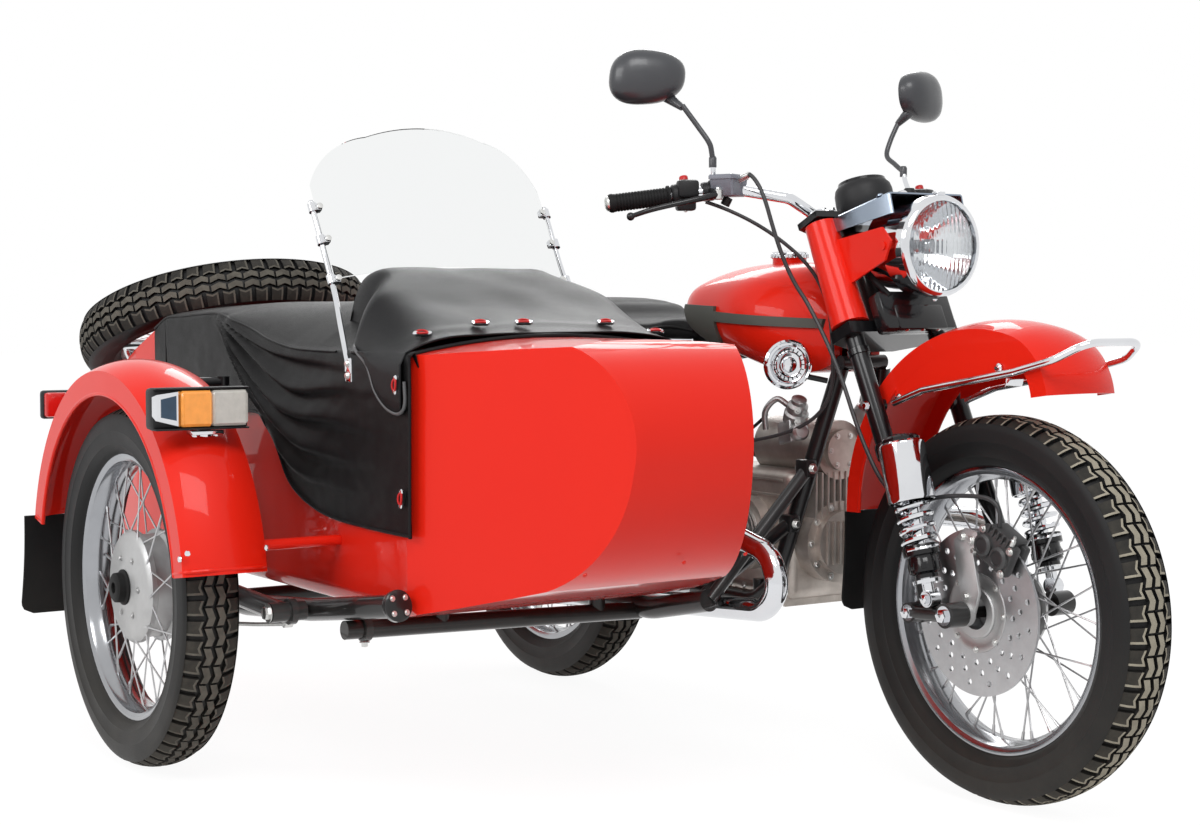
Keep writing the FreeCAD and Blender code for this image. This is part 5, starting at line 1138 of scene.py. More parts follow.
plate_edge = ((-20, 8), (-14, 40), (-24, 84), (-30, 128), (-4, 150), (26, 146), (30, 128),
              (16, 112), (24, 82), (34, 40), (22, 2), (8, -16), (-12, -14))
caliper.loft([[axle + mm(a * grow, side_at, h if h < 0 else h * grow) for a, h in plate_edge]
              for side_at, grow in ((-101, 0.97), (-100, 1.0), (-95, 1.0), (-94, 0.97))], 2)
for ahead, height in ((-8, 134), (14, 130), (2, 30)):
    caliper.bolt(axle + mm(ahead, -101, height), -Y, 6, 5, 1)
caliper = caliper.made("brake_caliper", "fork", "caliper_black", "bolt_zinc", "hub_casting")
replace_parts(caliper, "caliper")

# %% Disc carrier
carrier = Form()
carrier.lathe([(30, -78), (44, -78), (46, -75.5), (46, -72.6), (60, -72.6), (62, -74), (70, -74),
               (71, -72.6), (71, -70), (30, -70)], axle, Y, 64)
for ray in around(Y, 8):
    carrier.bolt(axle + ray * 0.066 - Y * 0.074, -Y, 4, 3.4, 1)
carrier.made("disc_carrier", "front_wheel", "hub_casting", "bolt_zinc")

# %% Link bolts and the fork's hardware
rake = math.radians(25)
steer_up = Vector((-math.sin(rake), 0, math.cos(rake)))
steer_ahead = Vector((steer_up.z, 0, -steer_up.x))
steer_head = at(1156, 0, 827)


def on_axis(along, ahead=0.0, side=0.0):
    """A place by the steering axis: up along it, ahead of it and to the left, in mm."""
    return steer_head + (steer_up * along + steer_ahead * ahead) * MM + Y * side * MM


hardware = Form()
for hand in HANDS:
    out = Y * hand
    for spot, radius, height in ((on_axis(-548, 20, 149 * hand), 10, 9),
                                 (axle + out * 0.1505, 12, 10), (at(1384, 162 * hand, 642), 8.5, 7),
                                 (at(1466, 162 * hand, 371.3), 8.5, 7),
                                 (on_axis(-160, 40, 123 * hand), 6.5, 5)):
        hardware.bolt(spot, out, radius, height)
    for profile, along, skin in (
            ([(17.5, 0), (22, 0), (22.5, 4), (22.5, 20), (21, 26), (18, 28), (17.5, 28)], -262, 1),
            ([(17.5, 0), (21, 0), (21, 12), (17.5, 12)], -60, 1),
            ([(0, 0), (19, 0), (19, 7), (15, 12), (0, 13)], 224, 0)):
        hardware.lathe(profile, on_axis(along, 40, 104 * hand), steer_up, 32, skin)
hardware.lathe([(0, 0), (21, 0), (21, 8), (16, 13), (9, 13), (9, 9), (0, 9)], on_axis(224),
               steer_up, 6)
hardware.made("fork_hardware", "fork", "bright_chrome", "shiny_plastic")

# %% Box under the lamp
nacelle = Form()
nacelle.box(at(1246, 0, 868), (36, 172, 78), 8, steer_ahead, steer_up)
nacelle.box(at(1262, 0, 858), (22, 118, 50), 5, steer_ahead, steer_up)
for x, y in ((1262, -72), (1271, -38), (1271, 0), (1271, 38), (1262, 72)):
    nacelle.lathe([(0, 0), (8.5, 0), (8, 4), (5, 7), (0, 7.5)], at(x, y, 842), steer_ahead, 24, 1)
for hand in HANDS:
    nacelle.tube(path(((1250, 60, 900), (1222, 74, 930), (1180, 70, 960), (1140, 52, 980)), hand),
                 5.5, 10, 2)
nacelle.made("lamp_wiring_box", "fork", "shiny_plastic", "bolt_zinc", "black_rubber")

# %% [markdown]
# ## Turn lamps on the side fender
# Each lamp is a black tray with coloured sections side by side.  The front one has a dark
# reflector in a bright tapered frame at its outer end, then an amber section, then a clear one.

# %% Fender lamps
lamps = Form()
lamps.box(at(672, -1180, 700), (38, 182, 74), 7)
for z in (736, 664):
    lamps.box(at(686, -1180, z), (30, 176, 3.5), 1.5)
rib_pitch, rib_height, lens_back = 3.5, 0.7, 684
for y_start, y_end, skin, face_x in ((-1222, -1163, 1, 704), (-1162, -1095, 2, 703)):
    count = int(abs(y_end - y_start) / rib_pitch)
    rings = []
    for i in range(count + 1):
        y = y_start + (y_end - y_start) * i / count
        end = 2.5 if i in (0, count) else 0
        tip = face_x + rib_height * (i % 2) - end
        side = [(lens_back, 668 + end), (face_x - 5 - end, 668 + end), (tip, 673 + end)]
        rings.append([at(x, y, z) for x, z in
                      side + [(x, 2 * 700 - z) for x, z in reversed(side)]])
    lamps.loft(rings, skin)
lamps.loft([[at(lens_back, y, low), at(x, y, low), at(x, y, high), at(lens_back, y, high)]
            for y, low, high, x in ((-1270, 688, 722, 688), (-1266, 680, 726, 700),
                                    (-1228, 670, 731, 704), (-1224, 668, 732, 700))], 3)
lamps.loft([[at(x - 3, y, low), at(x + 1.5, y, low), at(x + 1.5, y, high), at(x - 3, y, high)]
            for y, low, high, x in ((-1259, 686, 718, 701.5), (-1232, 680, 724, 704.5))], 4)
lamps.tube(path(((660, -1165, 664), (668, -1165, 655), (668, -1165, 650))), 13, 18, 3)
lamps.box(at(672, -1165, 656), (30, 60, 8), 2, skin=3)
for y in (-1185, -1145):
    lamps.bolt(at(672, y, 652), -Z, 4.5, 3.5, 3)
lamps.box(at(2, -1193, 679), (20, 100, 58), 6)
for y, skin in ((-1216, 5), (-1168, 4)):
    lamps.box(at(16, y, 679), (18, 46, 50), 5, skin=skin)
lamps = lamps.made("side_lamps", "chassis", "matt_plastic", "amber_lens", "clear_lens",
                   "bright_chrome", "blue_reflex", "red_lens")
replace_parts(lamps, "fender_lamps")

# %% [markdown]
# ## Fender edges and mud flaps
# The side wheel's fender has rolled edges, which catch the light as a thin line.  The front
# fender has a rolled edge at its rear, and skirts that run down its sides to the chrome rail.
# The flaps behind the wheels are rubber sheets with rounded lower corners, bolted at the top.

# %% Rolled edges
side_hub, front_hub = (350, -1163, 352), (1500, 0, 500)


def round_hub(hub, reach, angle, aside):
    """A place round a wheel's hub: how far from it, at which angle, and how far to the left."""
    angle = math.radians(angle)
    return at(hub[0] + reach * math.cos(angle), hub[1] + aside, hub[2] + reach * math.sin(angle))


rolled, brow = Form(), Form()
for aside in (-77.5, 77.5):
    rolled.tube([round_hub(side_hub, 362, 8.2 + 158.6 * i / 59, aside) for i in range(60)],
                4.2, 10, per=1)
crown_line = [(428, 0), (426, 40), (419, 62), (406, 79), (364, 80)]
for angle in (9.2, 165.8):
    rolled.tube([round_hub(side_hub, r - 2, angle, hand * (w - 2))
                 for hand, part in ((-1, reversed(crown_line)), (1, crown_line[1:]))
                 for r, w in part], 3.6, 8, per=4)
for y in (-1238, -1090):
    rolled.lathe([(0, 0), (5.5, 0), (4.5, 2.6), (0, 3.6)], at(764, y, 452), X, 18, 1)
rolled.lathe([(0, 0), (6, 0), (5, 3), (0, 4)], at(744, -1243.5, 440), -Y, 18, 1)
rolled.made("side_fender_edges", "chassis", "red_lacquer", "bright_chrome")
skirt_radius, skirt_inner, skirt_outer = 309.5, 79.2, 81.8
for hand in HANDS:
    brow.tube([round_hub(front_hub, 307.5, angle, hand * 80.5)
               for angle in range(180, 131, -4)], 3.4, 8, per=1)
    rings = []
    for i in range(33):
        x = 1292 + 316 * i / 32
        top = front_hub[2] + math.sqrt(max(0, skirt_radius ** 2 - (x - front_hub[0]) ** 2))
        low = min(top - 1, 707 + 28 * step(1285, 1385, x) + max(0, x - 1380) * 0.176)
        rings.append([at(x, hand * y, z) for y, z in ((skirt_outer, top), (skirt_inner, top),
                                                      (skirt_inner, low), (skirt_outer, low))])
    brow.loft(rings)
brow.made("front_fender_edges", "fork", "red_lacquer")

# %% Mud flaps
flap_rows, corner = 24, 26


def flap(name, body, node, top_centre, width, down, out):
    """A rubber sheet: rounded lower corners, a slight curve and a bolted strip on top."""
    form = Form()
    length = down.length * 1000
    down = down.normalized()
    side = down.cross(out).normalized()
    rings = []
    for i in range(flap_rows + 1):
        share = i / flap_rows
        half = width / 2 - 3 * math.sin(math.pi * share)
        into_corner = corner - length * (1 - share)
        if into_corner > 0:
            half -= corner - math.sqrt(max(0, corner ** 2 - into_corner ** 2))
        bow = 4 * math.sin(math.pi * 0.5 * share) ** 2
        spot = top_centre + (down * length * share + out * bow) * MM
        front = [(-1, 0.8), (-0.985, 2.2), (0.985, 2.2), (1, 0.8)]
        rings.append([spot + (side * s * half + out * t) * MM
                      for s, t in front + [(s, -t) for s, t in reversed(front)]])
    form.loft(rings)
    strip = top_centre + down * 0.013 + out * 0.0035
    form.box(strip, (width * 0.86, 16, 3), 1, side, out, 1)
    for share in (-0.34, 0, 0.34):
        form.bolt(strip + (side * width * share + out * 1.5) * MM, out, 5, 4, 2)
    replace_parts(form.made(name, body, "black_rubber", "black_enamel", "bolt_zinc"), node)


flap("side_mud_flap", "chassis", "fender_flap", at(-68, -1163, 446), 190,
     mm(-29, 0, -209), Vector((-0.99, 0, 0.137)))
flap("front_mud_flap", "fork", "front_flap", at(1141, 0, 492), 144,
     mm(-6, 0, -190), Vector((-1, 0, 0.03)))

# %% Tail lamp
tail = Form()
tail.box(at(-430, 0, 498), (34, 80, 62), 10, skin=1)
for z in range(477, 520, 7):
    tail.box(at(-447.5, 0, z), (1.5, 68, 2.2), 0.4, skin=1)
tail.box(at(-402, 0, 498), (28, 86, 68), 8)
tail.made("tail_lamp_ribs", "chassis", "matt_plastic", "red_lens")

# %% [markdown]
# ## The cover and the apron
# The cockpit is closed by a vinyl cover that hangs down the tub's sides.  It is sewn from one
# sheet, so it is modelled as one sheet too: each column of points starts at the right hem, runs
# up the side, over the crown and down to the left hem.  Gathers start where the cloth is held
# at the rear and sweep forward and down.  `side_gather` gives how far the cloth stands out.  A
# narrow strip goes on towards the rear on each side, past the edge of the boot lid.

# %% The cover's shape
body_plane, body_half, stand_off = -630, 295, 8.5


def follow(table, x):
    """The height at x on a soft line through the table's (x, z) places."""
    spots = [table[0]] + table + [table[-1]]
    for before, a, b, after in zip(spots, spots[1:], spots[2:], spots[3:]):
        if x <= b[0] or b is table[-1]:
            break
    reach = b[0] - a[0]
    t = min(1, max(0, (x - a[0]) / reach))
    rise, fall = ((b[1] - before[1]) / (b[0] - before[0]) * reach,
                  (after[1] - a[1]) / (after[0] - a[0]) * reach)
    return ((1 + 2 * t) * (1 - t) ** 2 * a[1] + t * (1 - t) ** 2 * rise
            + t * t * (3 - 2 * t) * b[1] + t * t * (t - 1) * fall)


def wrinkle(height, *place):
    """A small soft unevenness, in mm."""
    return height * noise.noise(Vector(place))


shoulder_line = [(-180, 832), (-128, 850), (-96, 860), (0, 864), (100, 869), (188, 870),
                 (313, 851), (456, 820), (590, 805), (960, 804), (1016, 803)]
hem_line = [(-180, 652), (-96, 655), (300, 668), (400, 664), (450, 624), (519, 549), (585, 514),
            (671, 495), (775, 486), (1016, 482)]
# Each fold: how far below the shoulder at full fan, its width, and how far it stands out
folds = ((98, 12, 12), (146, 15, 20), (204, 18, 23), (262, 18, 20), (318, 15, 13))


def side_gather(x, z):
    """How far the side hangs clear of the tub, in mm: folds fan out from behind the lamp."""
    fan = max(step(60, 640, x), 0.05)
    place = (872 - z) / fan
    swell = 0.0
    for where, width, height in folds:
        off = place - where - 7 * math.sin(x / 83 + where)
        swell += height * math.exp(-(off / (width * (0.55 if off > 0 else 1.6))) ** 2)
    swell *= step(0.05, 0.34, fan) * (1 - 0.88 * step(540, 830, x)) * step(1014, 860, x)
    hem = follow(hem_line, x)
    free = step(hem - 6, hem + 40, z)
    return (stand_off + swell * (0.35 + 0.65 * free) + wrinkle(2.2, x * 0.011, z * 0.016, 1.7)
            + wrinkle(0.8, x * 0.03, z * 0.045, 5.1))


def crown(x, y_share):
    """The top of the cover: y_share runs from -1 to 1 across."""
    peak = 886 + 20 * step(-96, 500, x) - 6 * step(560, 700, x)
    low = follow(shoulder_line, x)
    form = 1 - abs(y_share) ** 2.3
    dish = -12 * math.exp(-((x - 330) / 190) ** 2) * math.exp(-(y_share / 0.62) ** 2)
    if x > 640:
        peak -= (x - 640) * 0.32
        low = min(low, peak - 4)
    return low + (peak - low + dish + wrinkle(2.4, x * 0.008, y_share * 2.1, 3.3)) * form


def length_of(line):
    """How long a line through places is, in metres."""
    line = path(line)
    return sum((a - b).length for a, b in zip(line, line[1:]))


def lay(form, rings, hand=1):
    """Join rows of places into a sheet; the left hand turns its faces over."""
    form.add([point for ring in rings for point in path(ring)],
             [face[::hand] for face in grid(len(rings), len(rings[0]))])


def cloth(form, name, skin, thickness):
    """A sheet with some thickness inward, and the area of its one side."""
    piece = form.made(name, "chassis", skin, sharp=70)
    thick = piece.modifiers.new("cloth", "SOLIDIFY")
    thick.thickness, thick.offset = thickness, -1
    return piece, sum(face.area for face in piece.data.polygons)


# %% Lay the cover's points
columns, side_rows, corner_rows, top_rows, corner = 176, 58, 7, 44, 16.0
cover_start, cover_end = -96, 1012
points = []
for i in range(columns + 1):
    x = cover_start + (cover_end - cover_start) * i / columns
    hem, low = follow(hem_line, x), follow(shoulder_line, x)
    heights = [hem + (low - corner - hem) * j / side_rows for j in range(side_rows + 1)]
    ring = [(body_half + side_gather(x, z), z) for z in heights]
    base = ring[-1][0]
    for j in range(1, corner_rows):
        angle = math.pi / 2 * j / corner_rows
        ring.append((base - corner * (1 - math.cos(angle)), low - corner * (1 - math.sin(angle))))
    top_half = ring[-1][0]
    for j in range(1, top_rows + 1):
        share = 1 - j / top_rows
        ring.append((top_half * share, crown(x, share)))
    points.append([(x, body_plane - y, z) for y, z in ring]
                  + [(x, body_plane + y, z) for y, z in reversed(ring[:-1])])
cover = Form()
lay(cover, points)
strip_length, strip_steps, strip_corner, strip_edge = 76, 12, 14, 262
for hand in HANDS:
    rings = []
    for i in range(strip_steps + 1):
        x = cover_start - strip_length * i / strip_steps
        hem, low = follow(hem_line, x), follow(shoulder_line, x)
        out = body_half + stand_off - 3.5 * step(-130, -172, x)
        edge = [(out, hem + (low - strip_corner - hem) * j / 12) for j in range(13)]
        edge += [(out - strip_corner * (1 - math.cos(t)), low - strip_corner * (1 - math.sin(t)))
                 for t in (math.pi / 8 * k for k in range(1, 5))] + [(strip_edge, low + 3)]
        rings.append([(x, body_plane + hand * y, z) for y, z in edge])
    lay(cover, rings, hand)
cover, area = cloth(cover, "cockpit_cover", "draped_vinyl", 0.0022)
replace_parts(cover, "tonneau")
widest = max(length_of(ring) for ring in points)
longest = (cover_end - cover_start + strip_length) * MM
print("cover: area %.3f m2, widest %.3f m, length %.3f m" % (area, widest, longest))

# %% [markdown]
# ### Apron
# Between the screen and the nose lies a stiffer hood.  It is nearly flat across under the pane,
# falls forward to the nose's rear edge, and its sides run down steeply to the tub.  Its first
# row of points is a low rear wall, which closes it under the screen.

# %% The apron
crest_line = [(600, 938), (654, 954), (700, 946), (780, 914), (860, 879), (940, 850), (992, 834)]
flap_line = [(560, 790), (800, 797), (850, 790), (875, 752), (915, 714), (960, 699), (992, 697)]
columns, rows, front_x, rear_x, rear_half, wall_top = 72, 110, 992, 654, 222, 868
points = []
for i in range(columns + 1):
    ring = []
    for j in range(rows + 1):
        side = math.sin((j / rows - 0.5) * math.pi)
        rear = rear_x - 43 * (side * rear_half / 256) ** 2
        x = rear + (front_x - rear) * i / columns
        half = rear_half + 79 * step(690, 800, x)
        peak, low = follow(crest_line, x), 846 - 45 * step(640, 790, x)
        form = 1 - abs(side) ** (14 - 9 * step(690, 980, x))
        soft = (wrinkle(2.2, x * 0.012, side * 3, 8.2)
                + 1.6 * math.exp(-(((x - 948 + 10 * math.cos(side * 6)) / 14) ** 2)))
        ring.append((x, body_plane + side * half, low + (peak - low + soft) * form))
    edge_x, edge_y, low = ring[0]
    half = body_plane - edge_y + 6 + 4 * step(800, 860, edge_x)
    bottom = min(low - 4, follow(flap_line, edge_x))
    skirt = [(edge_x, body_plane - half, low + (bottom - low) * k / 5) for k in (5, 4, 3, 2, 1)]
    points.append(skirt + ring + [(x, 2 * body_plane - y, z) for x, y, z in reversed(skirt)])
points.insert(0, [(x + 6, y, min(z, wall_top)) for x, y, z in points[0]])
apron = Form()
lay(apron, points)
apron, area = cloth(apron, "screen_apron", "cowl_vinyl", 0.003)
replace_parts(apron, "apron")
widest = max(length_of(ring) for ring in points)
longest = max(length_of(line) for line in list(zip(*points))[::8])
print("apron: area %.3f m2, flat %.3f by %.3f m" % (area, widest, longest))

# %% Clips: a red loop over a bright snap on a dark tab
clips = Form()


def clip(spot, face, along):
    """A fastener on a surface with the given outward way, its strap along another way."""
    face, along = face.normalized(), along.normalized()
    over = face.cross(along)
    clips.box(spot + face * 0.003, (27, 12, 3), 1.2, along, face, 1)
    for shift in (-12, 12):
        clips.lathe([(0, 0), (5.2, 0), (5.2, 2.5), (3.6, 4.5), (0, 5)],
                    spot + (along * shift + face * 4) * MM, face, 22, 2)
    loop = [spot + (along * 10.5 * math.cos(a) + over * 6 * math.sin(a)
                    + face * (6.5 + 2.5 * abs(math.sin(a)))) * MM
            for a in (2 * math.pi * k / 12 for k in range(13))]
    clips.tube(loop, 2.0, 8, 0, per=3)


for y in (-876, -761, -671, -494, -384):
    tilt_side = (y - body_plane) / body_half
    height = 801 + 46 * (1 - abs(tilt_side) ** 5.2)
    clip(at(955, y, height), Vector((0.34, tilt_side ** 5, 1)), Vector((0.3, 0.9, 0)))
for hand in HANDS:
    clip(at(978, body_plane + hand * 307, 746), Y * hand, Vector((0.12, 0, 1)))
    clip(at(994, body_plane + hand * 305, 550), Y * hand, Vector((0.1, 0, 1)))
clips.made("cover_clips", "chassis", "clip_red", "black_rubber", "bright_chrome")

# %% Piping, bead and hem
edging = Form()
for hand in HANDS:

    def beside(x, z, out=9):
        """A place by the tub's side, so far out from it."""
        return at(x, body_plane + hand * (body_half + out), z)

    shoulder = [(x, follow(shoulder_line, x)) for x in (-170 + 900 * i / 33 for i in range(34))]
    edging.tube([beside(x, z - 5, side_gather(x, z - 16) - 3.5) for x, z in shoulder],
                2.4, 8, 0, per=2)
    edging.tube([beside(*place) for place in (
        (690, 846, -72), (745, 824, -36), (800, 806, 6), (862, 776, 13), (892, 734, 14),
        (930, 707, 14), (970, 696, 14), (994, 700, 14), (1004, 716, 13), (1000, 752, 12))],
                3.2, 10, 1)
    hem = [(x, follow(hem_line, x)) for x in range(-170, 1016, 16)]
    edging.tube([beside(x, z + 3, side_gather(x, z) + 0.5) for x, z in hem], 2.6, 8, 0, per=2)
    edging.tube([beside(1012, 482), beside(1013, 640), beside(1014, 740), beside(1012, 798)],
                3.0, 8, 0)
bead = [at(front_x, body_plane + y * 292, 797 + 31 * (1 - y * y))
        for y in (-1 + 2 * i / 40 for i in range(41))]
edging.tube(bead, 5.0, 10, 0, per=2)
edging.made("cover_edging", "chassis", "cowl_vinyl", "piping_grey")

# %% [markdown]
# ## Saddle
# The saddle is a foam pad under a sewn hide.  The frame's solid gives its outline.  A copy is
# remeshed fine and even, its points are smoothed so that the edges become round and full, and
# the seam is a cord of piping laid along the top edge.

# %% Saddle
fineness, smoothings, edge_height = 8 * MM, 14, 835
pad = placed("saddle_pad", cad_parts["saddle"].data.copy())
voxels = pad.modifiers.new("even", "REMESH")
voxels.mode, voxels.voxel_size = "VOXEL", fineness
even = bpy.data.meshes.new_from_object(
    pad.evaluated_get(bpy.context.evaluated_depsgraph_get()))
pad.modifiers.clear()
pad.data = even
shape = bmesh.new()
shape.from_mesh(even)
for _ in range(smoothings):
    bmesh.ops.smooth_vert(shape, verts=shape.verts[:], factor=0.5, use_axis_x=True,
                          use_axis_y=True, use_axis_z=True)
# The top swells a little, and shallow ribs run across it
for vertex in shape.verts:
    x, y, z = (vertex.co - under_rear_axle) * 1000
    swell = 5 * (1 - min(1, abs(y) / 135) ** 2)
    ribs = (1.2 * math.cos(x / 9.5) * step(410, 380, x) * step(-120, -90, x)
            * step(108, 92, abs(y)))
    if z > edge_height:
        vertex.co.z += (swell + ribs) * MM
shape.to_mesh(even)
shape.free()
even.materials.clear()
even.materials.append(finishes["seat_hide"][0])
for face in even.polygons:
    face.use_smooth = True
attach(pad, "chassis")
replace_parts(pad, "saddle")
print("saddle pad", len(even.polygons), "faces")
trim = Form()
for hand in HANDS:
    for radius, skin, seam in (
            (3.0, 0, ((-150, 60, 872), (-148, 100, 872), (-110, 131, 876), (60, 133, 878),
                      (262, 131, 876), (345, 127, 866), (412, 120, 834), (500, 102, 830),
                      (580, 84, 836), (634, 60, 828))),
            (3.5, 1, ((-152, 96, 808), (-108, 134, 808), (200, 134, 808), (420, 122, 808),
                      (634, 62, 808)))):
        trim.tube(path(seam, hand), radius, 8, skin)
trim.tube(path(((-152, -62, 872), (-156, 0, 873), (-152, 62, 872))), 3.0, 8)
trim.made("saddle_piping", "chassis", "seat_hide", "bright_chrome")

# %% [markdown]
# ## Screen fittings
# The posts are thin bright tubes.  Each one goes past the pane's edge down to a foot bracket on
# the tub's side, and clamps with rubber pads grip the pane.

# %% Posts and clamps
lean = math.radians(30)
screen_up = Vector((-math.sin(lean), 0, math.cos(lean)))
screen_ahead = Vector((math.cos(lean), 0, math.sin(lean)))
posts = Form()
for hand in HANDS:
    out = Y * hand
    pane_foot = at(700, body_plane + 10 + hand * 262.4, 770)
    top, mid = pane_foot + screen_up * 0.355, pane_foot + screen_up * 0.17
    foot = at(785, body_plane + hand * 307, 778)
    posts.tube([top, mid, mid.lerp(foot, 0.5), foot], 5.4, 14)
    posts.lathe([(0, -3), (5, -3), (6.2, 0), (5, 4), (0, 6)], top, screen_up, 16)
    posts.box(foot - Z * 0.012 - out * 0.003, (26, 8, 44), 2.5, X, Z)
    for drop in (0.022, 0):
        posts.bolt(foot - Z * drop + out * MM, out, 5, 4, 1)
    for share in (0.08, 0.55, 0.94):
        spot = mid.lerp(top, share)
        posts.collar(5.6, 8.6, -9, 9, spot, screen_up, 20)
        posts.box(spot - out * 0.010, (14, 14, 15), 2, screen_ahead, screen_up)
        posts.lathe([(0, 0), (6.5, 0), (6, 3), (0, 4)],
                    spot - out * 0.012 + screen_ahead * 0.008, screen_ahead, 18, 1)
posts = posts.made("screen_fittings", "chassis", "bright_chrome", "bolt_zinc")
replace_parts(posts, "windscreen_posts")

# %% [markdown]
# ## Engine dressing
# The flat twin's case shows upright ribs and bolted covers.  Rocker covers, spark plugs with
# their leads, the carburettors' caps and the pipe clamps are added over the frame's solids.

# %% Engine details
dress = Form()
for y in range(-60, 61, 15):
    dress.box(at(1012, y, 512), (62, 5, 92), 1.8)
for y in range(-54, 55, 18):
    dress.box(at(1058, y * 0.8, 420), (5, 4, 84), 1.4)
for centre, reach, count, radius, height in ((at(1040, 0, 420), 0.070, 10, 5, 4),
                                             (at(1052, 0, 600), 0.032, 6, 4, 3.5)):
    for out in around(X, count):
        dress.bolt(centre + out * reach, X, radius, height, 1)
for hand in HANDS:
    out = Y * hand
    for x in range(770, 1000, 44):
        dress.bolt(at(x, 93.5 * hand, 322), out, 5, 4, 1)
    for z in range(330, 560, 30):
        dress.box(at(868, 94 * hand, z), (220, 3, 5), 1.2)
    dress.box(at(880, 312.5 * hand, 430), (86, 5, 78), 2.4)
    for z in range(404, 457, 13):
        dress.box(at(880, 315 * hand, z), (74, 3.4, 4), 1.4)
    for x, z in ((832, 472), (928, 472), (832, 388), (928, 388)):
        dress.bolt(at(x, 310.5 * hand, z), out, 5, 4, 1)
    plug = at(912, 262 * hand, 496)
    dress.lathe([(0, 0), (9, 0), (9, 8), (6, 10), (6, 16), (0, 16)], plug, Z, 20, 1)
    dress.tube([plug + Z * 0.012, plug + mm(-4, hand, 36)], [8, 6.5], 14, 2)
    dress.tube([plug + mm(-4, 0, 34)] + path(((902, 240, 552), (880, 170, 590), (870, 80, 640),
                                              (860, 40, 662)), hand), 3.4, 8, 2)
    dress.lathe([(0, 0), (27, 0), (28, 3), (28, 9), (24, 12), (0, 13)], at(728, 243 * hand, 562),
                Z, 30, 3)
    for z in (474, 512, 548):
        dress.lathe([(26, 0), (28.5, 1), (28.5, 4), (26, 5)], at(728, 243 * hand, z), Z, 30, 3)
    dress.collar(19, 22, -7, 7, at(700, 230.5 * hand, 521), Vector((-0.75, -0.4 * hand, 0.4)),
                 26, 1)
dress.made("engine_dressing", "chassis", "dull_casting", "bolt_zinc", "black_rubber",
           "hub_casting")

# %% Castings under the tank: caps, a short pipe and a bracket on each side
valves = Form()
for hand in HANDS:
    base = at(1012, 88 * hand, 668)
    valves.lathe([(0, -18), (20, -18), (24, -12), (24, 8), (20, 12), (20, 26), (15, 32),
                  (15, 40), (8, 44), (0, 44)], base, Vector((0.5, 0.2 * hand, 0.8)), 32)
    valves.lathe([(0, 0), (15, 0), (17, 3), (17, 20), (12, 26), (0, 27)],
                 base + mm(18, 12 * hand, -30), Vector((0.95, 0.25 * hand, 0.1)), 28)
    valves.tube([base + mm(-10, 10 * hand, 20)]
                + path(((980, 110, 700), (960, 122, 676), (956, 118, 640)), hand), 6, 10)
    for shift in (-10, 12):
        valves.bolt(base + mm(30, 20 * hand, shift), Vector((0.9, 0.4 * hand, 0.1)), 4.5, 4, 1)
    valves.box(at(1000, 104 * hand, 636), (52, 8, 44), 3, Vector((1, 0.2 * hand, 0.2)))
valves.made("top_castings", "chassis", "hub_casting", "bolt_zinc")

# %% Exhaust clamps and pipe ends
pipes = Form()
for hand in HANDS:
    pipes.lathe([(21.5, -4), (31, -4), (32, -1), (32, 12), (30, 14), (30, 20), (22, 21),
                 (21.5, 21)], at(950, 292 * hand, 452), X, 40)
    for out in around(X, 12):
        pipes.box(at(958, 292 * hand, 452) + out * 0.032, (16, 5, 4), 1, X, out)
    pipes.collar(21, 26, -9, 9, at(330, 252 * hand, 257.6), Vector((1, 0, 0.06)), 36)
    pipes.bolt(at(330, 252 * hand, 230), -Z, 5, 8, 1)
    pipes.lathe([(43, 0), (44.6, 2), (44.6, 12), (43, 14)], at(150, 250 * hand, 259.2),
                Vector((1, 0, -0.02)), 44)
    pipes.lathe([(16, -2), (20, -2), (21, 4), (20.5, 10), (16, 10)],
                at(-288, 250 * hand, 268), Vector((-1, 0, 0.02)), 32, 2)
pipes.made("pipe_clamps", "chassis", "bright_chrome", "bolt_zinc", "black_rubber")

# %% Tank cap
tank_top = Form()
tank_top.lathe([(0, 0), (34.5, 0), (37, 2), (37, 11), (35, 14), (24, 16), (10, 19), (0, 19.5)],
               at(880, 0, 974), Z, 48)
for out in around(Z, 24):
    tank_top.box(at(880, 0, 980.5) + out * 0.0372, (2, 4, 9), 0.6, out, Z)
tank_top.made("tank_cap", "chassis", "bright_chrome")

# %% [markdown]
# ## Sidecar hardware
# Flanges, bolts and a brake rod show under the tub, and a bright handle and latch at the rear.

# %% Fittings on the sidecar's frame
fittings = Form()
for spot, way in ((at(1000, -955, 366), (0.95, 0.1, 0.2)), (at(-268, -985, 300), (-1, 0, 0)),
                  (at(-268, -350, 300), (-1, 0, 0))):
    way = Vector(way).normalized()
    fittings.lathe([(0, -4), (26, -4), (28, -1), (28, 8), (24, 11), (0, 12)], spot, way, 36)
    for out in around(way, 4, math.pi / 4):
        fittings.bolt(spot + out * 0.0185 + way * 0.011, way, 3.6, 3, 1)
for x, z in ((-180, 296), (300, 296), (860, 308)):
    fittings.collar(17, 23, -7, 7, at(x, -945, z), Y, 30)
    fittings.bolt(at(x, -945, z - 24), -Z, 6.5, 8, 1)
for x, y, z in ((1026, -114, 462), (332, -158, 296), (1055, -97, 570), (154, -158, 482)):
    fittings.box(at(x, y, z), (38, 26, 34), 5)
    fittings.bolt(at(x + 20, y, z), X, 7, 7, 1)
    fittings.bolt(at(x - 20, y, z), -X, 7, 6, 1)
fittings.tube(path(((690, -1020, 300), (560, -1035, 284), (480, -1048, 280),
                    (402, -1056, 296))), 4, 10, 1)
for x, y, z in ((690, -1016, 302), (402, -1060, 298)):
    fittings.collar(0, 9, -8, 8, at(x, y, z), Y, 20, 1)
fittings.collar(17, 24, -6, 6, at(735, -1030, 330), Y, 32)
fittings.bolt(at(735, -1074, 330), -Y, 12, 9, 1)
fittings.made("frame_fittings", "chassis", "black_enamel", "bolt_zinc")

